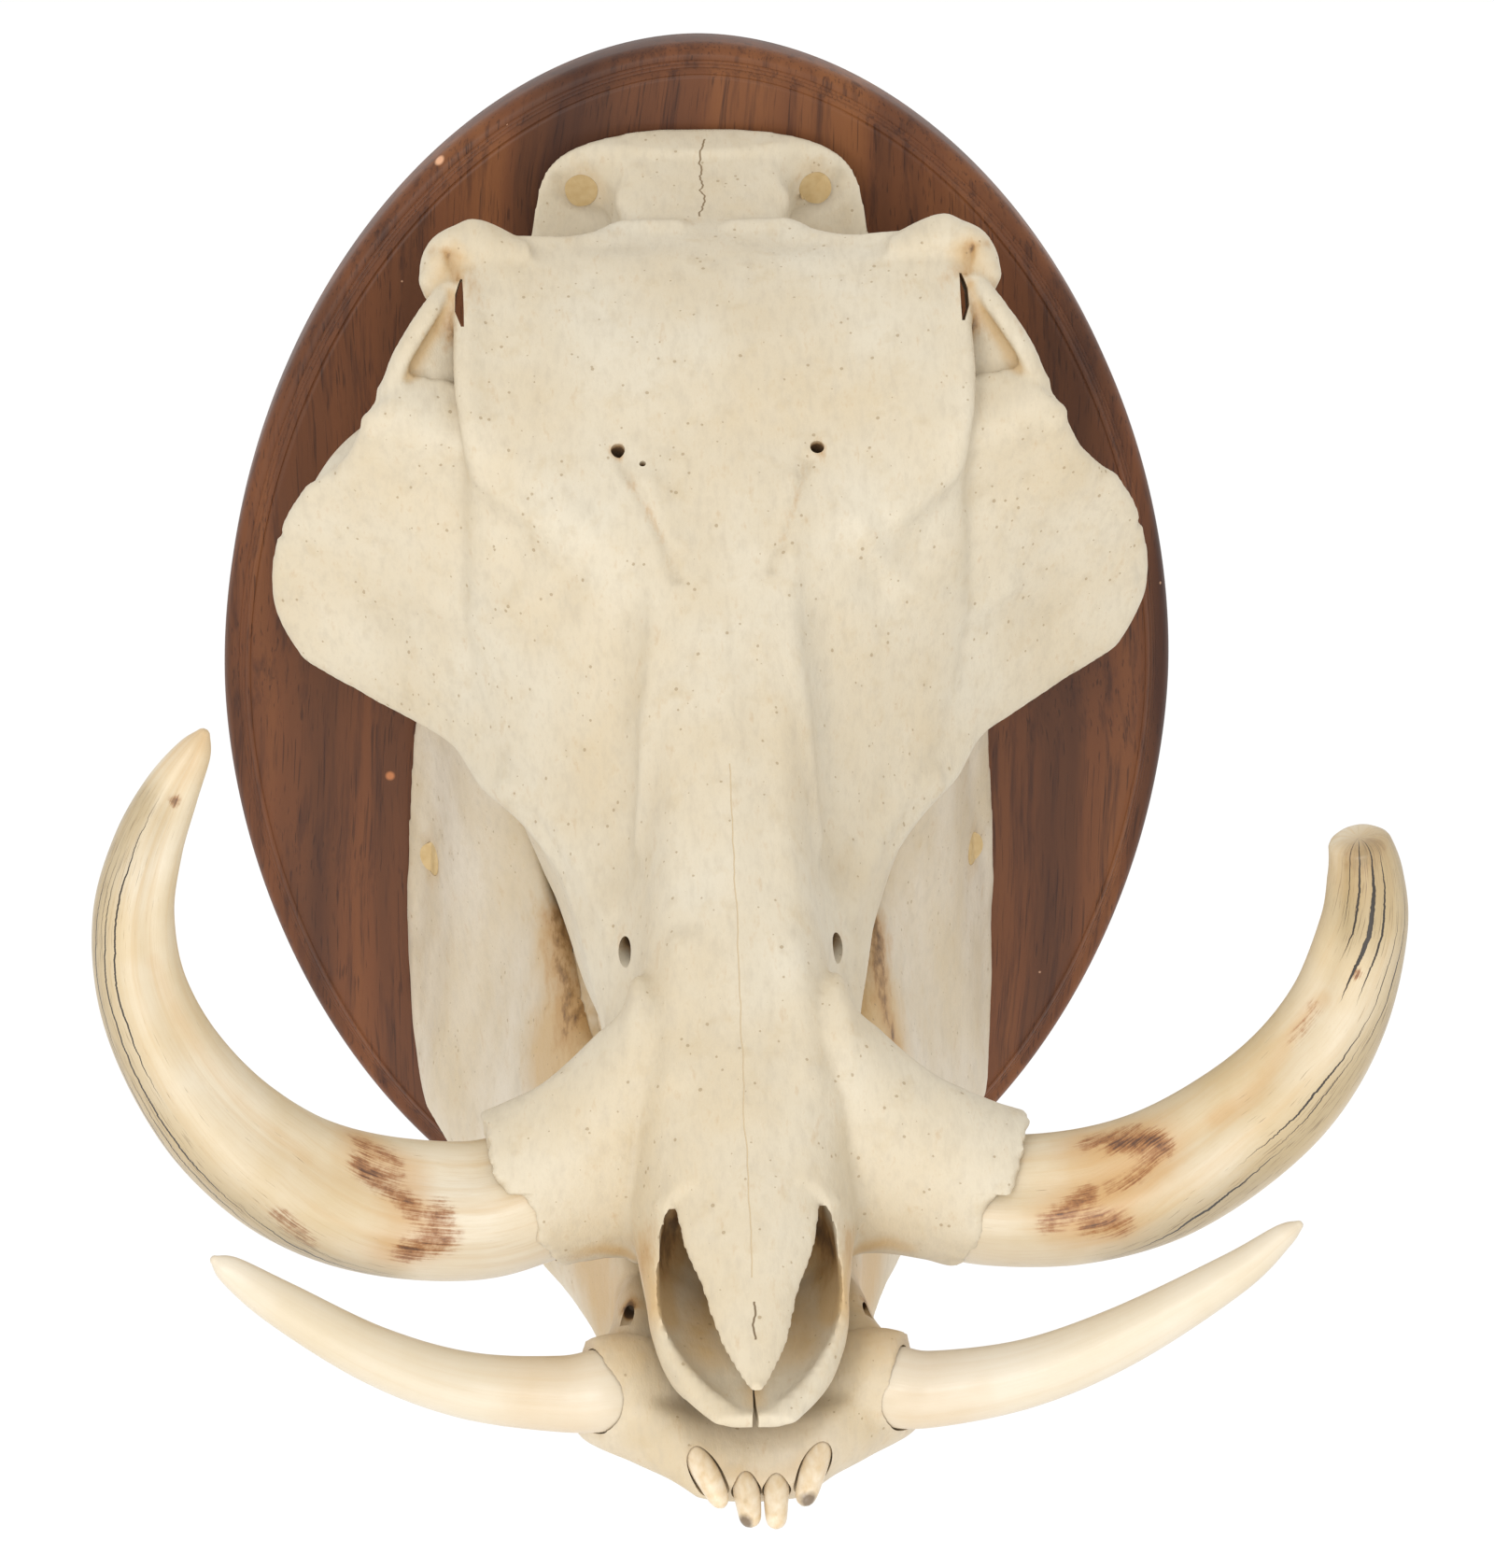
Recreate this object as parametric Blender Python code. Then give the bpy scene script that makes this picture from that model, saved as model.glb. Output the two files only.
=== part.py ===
# Warthog skull with its lower jaw and tusks, on an oval board that hangs on a wall.
# The board's back lies in the plane y = 0, the skull looks towards -Y, and +Z is up.
import math

import bmesh
import bpy
import numpy as np

MM = 0.001

# Board, in millimetres.
BOARD_WIDTH = 279.0
BOARD_HEIGHT = 378.0
BOARD_THICKNESS = 20.0
BOARD_ROUNDNESS = 1.9
BOARD_EDGE_RADIUS = 4.5
BOARD_COVE_RADIUS = 2.6
BOARD_SIDES = 52

# Skull axes: s runs forwards along the skull, d upwards from the biting plane, x to the side.
SKULL_PITCH = math.radians(21.0)
SKULL_ZERO_Y = 31.5
SKULL_ZERO_Z = 19.8
GAP = 0.3
TOOTH_GAP = 0.35

# Fineness of the bone meshes.
BONE_VOXEL = 1.7
CRANIUM_TRIANGLES = 2720
MANDIBLE_TRIANGLES = 1150
TUSK_RINGS = 14
TUSK_SIDES = 12
INCISOR_RINGS = 6
INCISOR_SIDES = 8

# Screws and the filler plugs over their heads.
SCREW_RADIUS = 2.0
SCREW_HEAD_RADIUS = 3.7
SCREW_HEAD_DEPTH = 2.4
SCREW_IN_BOARD = 12.0
PLUG_RADIUS = 4.6
PLUG_DEPTH = 2.4
SCREW_SIDES = 14


def clear_scene():
    for found in list(bpy.data.objects):
        bpy.data.objects.remove(found, do_unlink=True)


def material(name, colour, roughness, metallic=0.0):
    made = bpy.data.materials.new(name)
    made.use_nodes = True
    made.diffuse_color = (*colour, 1.0)
    shader = made.node_tree.nodes["Principled BSDF"]
    shader.inputs["Base Color"].default_value = (*colour, 1.0)
    shader.inputs["Roughness"].default_value = roughness
    shader.inputs["Metallic"].default_value = metallic
    return made


# Places: (x, s, d) on the skull in millimetres to metres in the world.
def to_world(points):
    points = np.asarray(points, float)
    x, s, d = points[..., 0], points[..., 1], points[..., 2]
    cos, sin = math.cos(SKULL_PITCH), math.sin(SKULL_PITCH)
    y = SKULL_ZERO_Y - s * cos - d * sin
    z = SKULL_ZERO_Z - s * sin + d * cos
    return np.stack([x, y, z], -1) * MM


def mirrored(points):
    return np.asarray(points, float) * np.array([-1.0, 1.0, 1.0])


# Smooth curve through the given rows, with count rows spaced evenly by their number.
def through(rows, count):
    rows = np.asarray(rows, float)
    last = len(rows) - 1
    made = []
    for place in np.linspace(0.0, last, count):
        k = min(int(place), last - 1)
        t = place - k
        a, b, c, d = (rows[min(max(k + j, 0), last)] for j in (-1, 0, 1, 2))
        made.append(b + 0.5 * t * (c - a + t * (2 * a - 5 * b + 4 * c - d + t * (3 * (b - c) + d - a))))
    return np.array(made)


# Closed solid through a row of rings, each with the same number of points.
def loft(bm, rings):
    rows = [[bm.verts.new(p) for p in ring] for ring in rings]
    size = len(rows[0])
    for near, far in zip(rows, rows[1:]):
        for k in range(size):
            bm.faces.new((near[k], near[(k + 1) % size], far[(k + 1) % size], far[k]))
    for ring, order in ((rows[0], -1), (rows[-1], 1)):
        middle = bm.verts.new(np.mean([v.co for v in ring], axis=0))
        for k in range(size):
            bm.faces.new((ring[k], ring[(k + 1) % size], middle)[::order])


# Solid with sections across the skull: half outlines (x, d) from the top middle to the bottom middle.
def section_solid(bm, sections, rings, half_points):
    rows = []
    for s, outline in sections:
        half = through(outline, half_points)
        rows.append([(x, s, d) for x, d in half])
    rows = through(rows, rings)
    loft(bm, [to_world(np.concatenate([row, mirrored(row[-2:0:-1])])) for row in rows])


# Round bar along a path of (x, s, d, radius) points. A socket is the same bar, grown by its clearance.
def bar_rings(path, rings, sides, grow=0.0):
    rows = through(path, rings)
    centres, radii = rows[:, :3], rows[:, 3] + grow
    along = np.gradient(centres, axis=0)
    along /= np.linalg.norm(along, axis=1)[:, None]
    centres[0] -= grow * along[0]
    side = np.cross(along[0], (0.0, 0.3, 1.0))
    made = []
    for centre, radius, forward in zip(centres, radii, along):
        side = side - forward * side.dot(forward)
        side /= np.linalg.norm(side)
        up = np.cross(forward, side)
        turns = [2 * math.pi * k / sides for k in range(sides)]
        ring = [centre + radius * (side * math.cos(a) + up * math.sin(a)) for a in turns]
        made.append(to_world(ring))
    return made


def bar(bm, path, rings=14, sides=16):
    loft(bm, bar_rings(path, rings, sides))


# Curved plate: each row runs from inside the skull out to the free rim.
def plate(bm, rows, thickness, rings, across):
    rows = through([through(row, across) for row in rows], rings)
    along = np.gradient(rows, axis=0)
    out = np.gradient(rows, axis=1)
    normal = np.cross(along, out)
    normal /= np.linalg.norm(normal, axis=2)[:, :, None]
    reach = np.linspace(0.0, 1.0, across)
    half = 0.5 * thickness * np.sqrt(np.clip(1.0 - reach ** 6, 0.02, 1.0))
    upper = rows + normal * half[None, :, None]
    lower = rows - normal * half[None, :, None]
    loft(bm, [to_world(np.concatenate([a, b[::-1]])) for a, b in zip(upper, lower)])


def ball(bm, centre, radii):
    made = bmesh.ops.create_icosphere(bm, subdivisions=3, radius=1.0)["verts"]
    for vert in made:
        vert.co = to_world(np.asarray(centre) + np.array(vert.co) * np.asarray(radii))


def both_sides(shape, bm, points, *rest):
    shape(bm, points, *rest)
    shape(bm, [mirrored(row) for row in points] if np.ndim(points[0]) == 2 else flipped(points), *rest)


def flipped(path):
    return [(-p[0], *p[1:]) for p in path]


# Place or direction given for the right side, on either side.
def on_side(place, side):
    return (side * place[0], *place[1:])


def new_object(name, bm, made=None):
    bm.normal_update()
    bmesh.ops.recalc_face_normals(bm, faces=bm.faces[:])
    mesh = bpy.data.meshes.new(name)
    bm.to_mesh(mesh)
    bm.free()
    made_object = bpy.data.objects.new(name, mesh)
    bpy.context.scene.collection.objects.link(made_object)
    if made:
        mesh.materials.append(made)
    return made_object


# Applies an object's modifiers to its mesh.
def settle(item):
    graph = bpy.context.evaluated_depsgraph_get()
    graph.update()
    mesh = bpy.data.meshes.new_from_object(item.evaluated_get(graph))
    old = item.data
    item.modifiers.clear()
    item.data = mesh
    bpy.data.meshes.remove(old)


def cut(item, tools):
    for tool in tools:
        step = item.modifiers.new("cut", "BOOLEAN")
        step.operation = "DIFFERENCE"
        step.object = tool
        settle(item)
        bpy.data.objects.remove(tool, do_unlink=True)


# Fuses overlapping solids into one bone, smooths it and brings it down to a set number of triangles.
def fuse(item, triangles):
    step = item.modifiers.new("fuse", "REMESH")
    step.mode = "VOXEL"
    step.voxel_size = BONE_VOXEL * MM
    step = item.modifiers.new("smooth", "SMOOTH")
    step.factor = 0.5
    step.iterations = 3
    settle(item)
    count = sum(len(face.vertices) - 2 for face in item.data.polygons)
    step = item.modifiers.new("simplify", "DECIMATE")
    step.ratio = min(1.0, triangles / count)
    step.use_collapse_triangulate = True
    settle(item)


# Cuts away what lies behind the board's front face.
def clear_of_board(item):
    bm = bmesh.new()
    bmesh.ops.create_cube(bm, size=1.0)
    for vert in bm.verts:
        vert.co.y = vert.co.y + 0.5 - (BOARD_THICKNESS + GAP) * MM
    cut(item, [new_object("behind", bm)])


def smooth_shading(item):
    item.data.shade_smooth()
    item.data.set_sharp_from_angle(angle=math.radians(40.0))


# Board: a pointed-oval outline, stepped in along its edge moulding.
def board_outline(inset):
    half_width = BOARD_WIDTH / 2 - inset
    half_height = BOARD_HEIGHT / 2 - inset
    power = 2.0 / BOARD_ROUNDNESS
    made = []
    for k in range(BOARD_SIDES):
        turn = 2 * math.pi * k / BOARD_SIDES
        cos, sin = math.cos(turn), math.sin(turn)
        made.append((half_width * math.copysign(abs(cos) ** power, cos),
                     half_height * math.copysign(abs(sin) ** power, sin)))
    return made


def build_board():
    edge, cove = BOARD_EDGE_RADIUS, BOARD_COVE_RADIUS
    steps = [(0.8, 0.0), (0.0, 0.8)]
    shoulder = BOARD_THICKNESS - cove - 0.9 - edge
    for k in range(4):
        turn = math.radians(30 * k)
        steps.append((edge * (1 - math.cos(turn)), shoulder + edge * math.sin(turn)))
    steps.append((edge + 0.3, shoulder + edge + 0.9))
    for k in range(1, 4):
        turn = math.radians(30 * k)
        steps.append((edge + 0.3 + cove * math.sin(turn), shoulder + edge + 0.9 + cove * (1 - math.cos(turn))))
    bm = bmesh.new()
    loft(bm, [[(x * MM, -depth * MM, z * MM) for x, z in board_outline(inset)] for inset, depth in steps])
    return new_object("board", bm, material("board wood", (0.17, 0.06, 0.03), 0.35))


# Cranium: the main mass from the braincase to the snout.
CORE = [
    (4, [(0, 155), (20, 155), (30, 153), (35, 147), (37, 132), (40, 108), (38, 84), (26, 68), (0, 66)]),
    (14, [(0, 154.5), (17, 154.5), (25, 151), (28, 146), (31, 132), (38, 108), (38, 80), (24, 60), (0, 58)]),
    (26, [(0, 154), (16, 154), (23, 152), (25, 146), (28, 132), (37, 108), (38, 80), (26, 54), (0, 50)]),
    (40, [(0, 155), (14, 155), (22, 153), (24, 147), (27, 130), (36, 106), (37, 80), (26, 52), (0, 46)]),
    (54, [(0, 158), (18, 158), (32, 160), (35, 155), (31, 136), (37, 108), (37, 80), (26, 52), (0, 44)]),
    (66, [(0, 160), (30, 161), (58, 166), (62, 161), (40, 144), (38, 110), (38, 80), (28, 52), (0, 42)]),
    (80, [(0, 160), (34, 160), (64, 165), (68, 159), (44, 144), (39, 112), (38, 80), (28, 50), (0, 40)]),
    (98, [(0, 157), (34, 156), (62, 160), (68, 156), (46, 140), (39, 112), (38, 78), (30, 44), (0, 34)]),
    (114, [(0, 151), (34, 150), (62, 154), (68, 149), (54, 134), (42, 106), (40, 72), (34, 36), (0, 28)]),
    (126, [(0, 145), (32, 144), (60, 147), (66, 142), (66, 124), (56, 96), (46, 62), (36, 28), (0, 22)]),
    (142, [(0, 138), (28, 137), (50, 136), (61, 124), (66, 104), (66, 82), (58, 58), (37, 18), (0, 18)]),
    (160, [(0, 129), (14, 129), (30, 123), (44, 110), (55, 92), (62, 74), (58, 54), (38, 12), (0, 16)]),
    (180, [(0, 120), (13, 119), (24, 111), (34, 96), (44, 79), (51, 67), (49, 52), (36, 10), (0, 15)]),
    (202, [(0, 111), (13, 109), (20, 101), (25, 89), (32, 74), (42, 59), (41, 46), (33, 10), (0, 15)]),
    (226, [(0, 102), (12, 100), (18, 93), (22, 81), (27, 68), (36, 52), (36, 41), (28, 14), (0, 16)]),
    (256, [(0, 91), (14, 89), (21, 81), (25, 69), (29, 55), (32, 43), (31, 31), (24, 18), (0, 18)]),
    (286, [(0, 81), (15, 79), (25, 72), (31, 61), (34, 48), (33, 36), (29, 25), (21, 19), (0, 19)]),
    (312, [(0, 73), (13, 71.5), (21, 66), (26, 56), (29, 45), (28, 35), (24, 26), (16, 21), (0, 20)]),
    (334, [(0, 63), (12, 62.5), (19, 59), (24, 51), (25.5, 42), (25, 34), (21.5, 28.5), (14, 24), (0, 22)]),
    (350, [(0, 47), (11, 47), (19.5, 46), (23.3, 43), (24, 38), (22.5, 33), (18, 29), (11, 25), (0, 23.5)]),
    (359, [(0, 43.5), (10, 43.5), (16.5, 43), (20.5, 40.5), (21.2, 36), (19.5, 30), (15.5, 25), (9, 23), (0, 22.5)]),
    (368, [(0, 41), (8.5, 41), (13, 40.5), (16.2, 39), (16.8, 36), (15, 32.5), (11.5, 30.5), (7, 29.5), (0, 29.5)]),
    (378, [(0, 38.5), (5, 38.5), (8, 38.2), (9.5, 37.6), (9.8, 36.8), (9, 36), (7, 35.5), (4, 35), (0, 35)]),
]

# Nose cavity, open above in front of the notches beside the nasal bones.
CAVITY = [
    (268, [(0, 58), (6, 56), (9, 50), (9, 44), (8, 38), (5, 35), (0, 34)]),
    (300, [(0, 62), (9, 60), (15, 54), (17, 46), (16, 38), (9, 31), (0, 30)]),
    (322, [(0, 63), (11, 62), (17, 58), (20, 50), (20, 38), (11, 29), (0, 28)]),
    (331, [(0, 76), (14, 75), (18.5, 69), (21.3, 52), (20.8, 40), (12, 31), (0, 30)]),
    (350, [(0, 72), (15, 70), (20.5, 58), (21.8, 46), (19, 39), (12, 35.5), (0, 34.5)]),
    (366, [(0, 66), (10, 65), (14, 56), (14.6, 44), (12, 39.3), (7.5, 37.2), (0, 36.8)]),
    (376, [(0, 60), (3, 59), (4.5, 54), (5, 46), (4.5, 40), (2.8, 38.4), (0, 38)]),
]

# Nasal bones, a tapering arched roof that ends in a point.
NASALS = [
    (300, [(0, 76.5), (10, 75), (18, 70), (19, 66), (12, 66), (0, 68)]),
    (334, [(0, 66.5), (8.5, 65), (16, 61), (16.5, 57.5), (9.5, 58), (0, 60)]),
    (350, [(0, 61), (6.5, 60), (11.3, 57), (11.8, 54), (6.5, 54.5), (0, 56)]),
    (366, [(0, 55.5), (4.3, 55), (7.4, 53), (7.6, 50.5), (4.3, 50.5), (0, 51)]),
    (378, [(0, 51.5), (1.2, 51.3), (2.2, 50.5), (2.3, 49.3), (1.2, 48.8), (0, 48.6)]),
]

# Nape plate at the back of the skull: height d, half width, and forward place.
NAPE = [(156.5, 24, 4), (154, 36, 5), (148, 44, 7), (138, 47.5, 11), (120, 49, 17), (98, 48, 24), (76, 40, 32), (58, 26, 40)]
NAPE_THICKNESS = 13.0
CHEEK_THICKNESS = 9.0
ORBIT_BAR_THICKNESS = 6.5

# Cheek plate, from the lobe under the eye socket round the wing to the tooth row.
CHEEK = [
    [(58, 109, 140), (72, 105.5, 145.5), (83, 106, 147.5)],
    [(56, 120, 138), (76, 118, 141), (89, 114, 148)],
    [(56, 124, 134), (80, 119, 134), (94, 115, 141)],
    [(56, 130, 124), (85, 121, 120), (99, 114, 130)],
    [(56, 135, 116), (88, 122, 108), (109, 109, 116)],
    [(56, 140, 106), (90, 123, 94), (117, 107, 97)],
    [(56, 144, 98), (88, 125, 82), (119, 109, 77)],
    [(56, 148, 92), (84, 131, 74), (112, 115, 63)],
    [(56, 152, 86), (76, 139, 69), (97, 125, 58.5)],
    [(55, 158, 80), (69, 148, 67), (82, 137, 57.5)],
    [(50, 166, 75), (61, 160, 65), (71, 151, 59)],
    [(43, 178, 70), (53, 174, 63), (64, 167, 58)],
    [(34, 194, 66), (42, 190, 60), (53, 183, 58)],
    [(26, 210, 60), (33, 207, 54), (42, 202, 54)],
    [(20, 226, 52), (25, 223, 47), (34, 218, 46)],
]

# Bar of the cheekbone behind the eye socket, and the hook of the brow above it.
ORBIT_BAR = [
    [(62, 118, 126), (80, 117, 134), (92, 113, 145)],
    [(60, 108, 124), (75, 107, 134), (86, 104, 149)],
    [(58, 98, 130), (70, 98, 143), (80, 97, 155.5)],
    [(56, 89, 144), (66, 89, 154), (75, 89, 162)],
    [(58, 82, 150), (67, 82, 158), (74.5, 82, 164)],
]
BROW_HOOK = [(50, 68, 160, 7), (63, 69, 165, 6.8), (70.5, 72, 165.8, 6.2), (73, 77, 162, 5.6), (72, 81.5, 158, 4.6)]

# Arch from the wing back to the side of the braincase.
ARCH = [(108, 116, 84, 9), (104, 92, 84, 12), (94, 70, 88, 12.5), (78, 54, 89, 13), (54, 48, 88, 14), (30, 50, 86, 15)]

# Sleeve of bone round the root of the upper tusk: (x, s, d), half its height and half its depth.
TUSK_SLEEVE = [
    (8, 289.3, 51.3, 20, 18), (24, 287.9, 51.4, 36, 19), (30, 291.5, 49.2, 31, 19), (38, 294.9, 46.1, 26.7, 19),
    (47, 297.6, 42.6, 23.7, 19.4), (57, 299.7, 39.4, 22.7, 20), (68, 301.3, 36.5, 21.3, 20.3), (80, 302.5, 35.5, 19.5, 20.3),
]
SLEEVE_TILT = math.radians(41.0)
SLEEVE_MOUTH = {-1: (-68, 295, 63), 1: (74, 298, 61)}
MOUTH_FACING = (0.868, 0.328, -0.377)

# Tusks: (x, s, d, radius), root to tip.
UPPER_TUSK_LEFT = [
    (-34, 298, 44, 15.5), (-52, 301, 38, 17), (-69, 304, 36, 17.5), (-92, 306, 41, 17.4), (-111, 307, 51.6, 16.5),
    (-127, 307, 69, 14.9), (-139, 305, 90, 12.8), (-146, 302, 112, 11), (-147, 298, 133, 9.7), (-143, 293, 150, 8.4),
    (-137, 288, 163, 6.7), (-131, 284, 172.5, 4.2), (-128.5, 282, 176.5, 1.6),
]
UPPER_TUSK_RIGHT = [
    (34, 298, 44, 15.5), (48, 301, 38.5, 16.3), (63, 304, 36, 16.6), (84, 306, 38.3, 17), (103.5, 307, 46, 16.8),
    (121, 307, 60, 16), (136, 305, 77, 14.6), (146, 302, 98, 12.6), (150.5, 298, 121, 10.8), (150, 295, 136, 9.2),
    (148, 293, 145, 7.6),
]
LOWER_TUSK_LEFT = [
    (-20, 340, 10, 8), (-34, 349, 18, 10.2), (-47, 351, 19, 9.4), (-70, 351, 23, 8.2), (-92, 350, 33.5, 7.1),
    (-114, 347, 49, 5.6), (-126, 344, 58, 3.6), (-130, 343, 61, 1.2),
]
LOWER_TUSK_RIGHT = [
    (20, 340, 10, 8), (34, 349, 17, 10.2), (46, 351, 17.5, 9.6), (69, 351, 22.5, 8.6), (92, 350, 34, 7.5),
    (118, 347, 52, 5.3), (130, 344, 62, 3.1), (134, 343, 65, 1.2),
]

# Lower jaw: side plate sections (s, top d, bottom d, top x, bottom x, thickness).
JAW = [
    (56, 64, 52, 70, 72, 7), (61, 66, 32, 72, 76, 8), (68, 66, 0, 74, 82, 8), (74, 65, -30, 74, 85, 8),
    (79, 63, -56, 73, 86.5, 8), (86, 60, -82, 71, 86.5, 8), (96, 55, -93, 68, 85.5, 9), (113, 44, -97, 62, 83.5, 10),
    (132, 24, -96, 54, 81, 12), (150, 6, -92, 47, 76, 15), (180, 1, -84, 41, 64, 19), (210, 1, -73, 37, 53, 20),
    (240, 4, -59, 33, 43, 19), (270, 7, -44, 29, 35, 18), (300, 9, -31, 26, 29, 16), (326, 11, -18, 22, 23, 14),
]

# Chin: the scoop that joins both sides and carries the incisors.
CHIN = [
    (286, [(0, -22), (14, -18), (26, -10), (32, -18), (28, -30), (14, -35), (0, -36)]),
    (304, [(0, 2), (14, 6), (27, 12), (32, 2), (28, -16), (14, -25), (0, -27)]),
    (324, [(0, 10), (14, 13), (28, 19), (34, 11), (31, -4), (14, -14), (0, -16)]),
    (342, [(0, 13.5), (14, 15), (32, 24.5), (41, 17), (40, 2), (18, -6), (0, -8)]),
    (352, [(0, 14.5), (14, 16), (30, 22.5), (40, 15), (41, 3), (18, -3), (0, -4)]),
    (362, [(0, 17), (10, 18.5), (22, 21.5), (31, 15.5), (30, 6), (14, 1), (0, 0)]),
    (371, [(0, 18), (8, 19), (16, 19.5), (22, 15), (20.5, 9), (10, 5.5), (0, 5)]),
    (379, [(0, 15), (6, 15.5), (11, 15.5), (14, 13.5), (13, 10.5), (7, 9), (0, 8.5)]),
]
LOWER_SLEEVE = [(14, 338, 9, 8.5), (24, 343.5, 13, 12), (32, 346.5, 16.3, 13.2), (38.5, 348.3, 17.5, 12.4)]
INCISORS = {
    "incisor_left_outer": [
        (-18.5, 357, 14.5, 2.6), (-16, 364, 15.8, 3.0), (-14.2, 369.5, 16.3, 3.2), (-11, 376.5, 15.6, 3.2),
        (-7.6, 383.5, 12.6, 2.2),
    ],
    "incisor_left_inner": [
        (-3, 362, 10.5, 2.6), (-2.6, 370, 12.2, 3.0), (-2.2, 376, 13.2, 3.2), (-1.5, 382, 12.6, 3.15),
        (-1, 388, 10.4, 2.4),
    ],
    "incisor_right_inner": [
        (6.3, 362, 10.5, 2.6), (6.1, 370, 12.2, 3.0), (5.8, 376, 13.2, 3.1), (5.3, 382, 12.6, 3.0),
        (5.1, 388.5, 10.2, 2.4),
    ],
    "incisor_right_outer": [
        (19.5, 357, 14.5, 2.6), (17.8, 364, 15.8, 3.0), (16.4, 369.5, 16.3, 3.2), (14.2, 376.5, 15.6, 3.2),
        (11.8, 383.5, 12.6, 2.4),
    ],
}

# Rows of cheek teeth on the right side: centre and size. Knobs of the joints: centre and radii.
UPPER_MOLARS = ((27, 180, 8), (14, 58, 15))
LOWER_MOLARS = ((34, 184, -7.5), (12, 62, 14))
NAPE_KNOB = ((20, 42, 62), (13, 13, 15))
JAW_KNOB = ((70, 59, 63), (13, 8, 6))

# Holes for nerves and vessels: centre, direction along the hole, radius and depth.
HOLES = [
    ((26.4, 130, 145), (0, -0.35, -1.0), 1.9, 14),
    ((27, 237, 62), (-0.45, -0.75, -0.25), 3.4, 22),
]

# Screws: a place on the bone's face and the screw's direction towards the board, on the right side.
SCREWS = {
    "skull": ((33.0, 15.0, 146.0), (0.0, 1.0, 0.0)),
    "jaw": ((79.0, 92.0, -34.0), (-0.45, 0.89, 0.0)),
}


def jaw_side(bm, side):
    rings = []
    for s, top, bottom, top_x, bottom_x, thickness in through(JAW, 60):
        middle, reach = (top + bottom) / 2, (top - bottom) / 2
        ring = []
        for k in range(28):
            turn = 2 * math.pi * k / 28
            up = math.copysign(abs(math.sin(turn)) ** 0.7, math.sin(turn))
            mix = (up + 1) / 2
            bow = 4.0 * (1 - up * up)
            x = bottom_x + (top_x - bottom_x) * mix - bow + 0.5 * thickness * math.cos(turn)
            ring.append((side * x, s, middle + reach * up))
        rings.append(to_world(ring))
    loft(bm, rings)


def cutter(name, rings):
    bm = bmesh.new()
    loft(bm, rings)
    return new_object(name, bm)


# Socket for the root of a tooth, as deep as the tooth's first few rings reach.
def socket(path, rings, sides, kept):
    return cutter("socket", bar_rings(path, rings, sides, TOOTH_GAP)[:kept])


def straight_hole(place, direction, radius, depth):
    forward = np.asarray(direction, float)
    forward /= np.linalg.norm(forward)
    ends = [np.asarray(place) - forward * 6.0, np.asarray(place) + forward * depth]
    path = [(*end, radius) for end in ends]
    return cutter("hole", bar_rings(path, 2, 12))


def cavity_cutter():
    bm = bmesh.new()
    section_solid(bm, CAVITY, 30, 12)
    return new_object("cavity", bm)


# Oval ring of a tusk's sleeve, which lies across the skull and is tilted to the slope of the face.
def sleeve_ring(side, row, points):
    x, s, d, tall, deep = row
    made = []
    for k in range(points):
        turn = 2 * math.pi * k / points
        up, out = tall * math.cos(turn), deep * math.sin(turn)
        made.append((side * x, s - up * math.sin(SLEEVE_TILT) + out * math.cos(SLEEVE_TILT),
                     d + up * math.cos(SLEEVE_TILT) + out * math.sin(SLEEVE_TILT)))
    return to_world(made)


# Sleeve of bone round the root of an upper tusk, with a slanted mouth.
def tusk_sleeve(bm, side):
    sleeve = bmesh.new()
    rows = [sleeve_ring(side, row, 28) for row in through(TUSK_SLEEVE, 20)]
    loft(sleeve, rows)
    mouth = np.array(SLEEVE_MOUTH[side])
    place = to_world(mouth)
    normal = to_world(mouth + np.array(MOUTH_FACING) * (side, 1, 1)) - place
    everything = sleeve.verts[:] + sleeve.edges[:] + sleeve.faces[:]
    bmesh.ops.bisect_plane(sleeve, geom=everything, plane_co=place, plane_no=normal, clear_outer=True)
    bmesh.ops.holes_fill(sleeve, edges=[edge for edge in sleeve.edges if edge.is_boundary])
    mesh = bpy.data.meshes.new("sleeve")
    sleeve.to_mesh(mesh)
    sleeve.free()
    bm.from_mesh(mesh)
    bpy.data.meshes.remove(mesh)


def tooth_block(name, centre, size, made=None, grow=0.0):
    bm = bmesh.new()
    bmesh.ops.create_cube(bm, size=1.0)
    bmesh.ops.bevel(bm, geom=bm.edges[:], offset=0.12, segments=2, affect="EDGES")
    for vert in bm.verts:
        vert.co = to_world(np.asarray(centre) + np.array(vert.co) * (np.asarray(size) + 2 * grow))
    return new_object(name, bm, made)


def build_cranium(bone, cutters):
    bm = bmesh.new()
    section_solid(bm, CORE, 110, 28)
    item = new_object("cranium", bm, bone)
    cut(item, [cavity_cutter()])
    bm = bmesh.new()
    bm.from_mesh(item.data)
    section_solid(bm, NASALS, 30, 12)
    rings = []
    for d, half, s in through(NAPE, 28):
        turns = [2 * math.pi * k / 32 for k in range(32)]
        rings.append(to_world([(half * math.cos(a), s + NAPE_THICKNESS / 2 * math.sin(a), d) for a in turns]))
    loft(bm, rings)
    both_sides(plate, bm, CHEEK, CHEEK_THICKNESS, 70, 14)
    both_sides(plate, bm, ORBIT_BAR, ORBIT_BAR_THICKNESS, 24, 12)
    both_sides(bar, bm, BROW_HOOK, 18, 14)
    both_sides(bar, bm, ARCH, 20, 16)
    for side in (-1, 1):
        tusk_sleeve(bm, side)
        ball(bm, on_side(NAPE_KNOB[0], side), NAPE_KNOB[1])
    bm.to_mesh(item.data)
    bm.free()
    fuse(item, CRANIUM_TRIANGLES)
    clear_of_board(item)
    cut(item, cutters)
    return item


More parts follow.
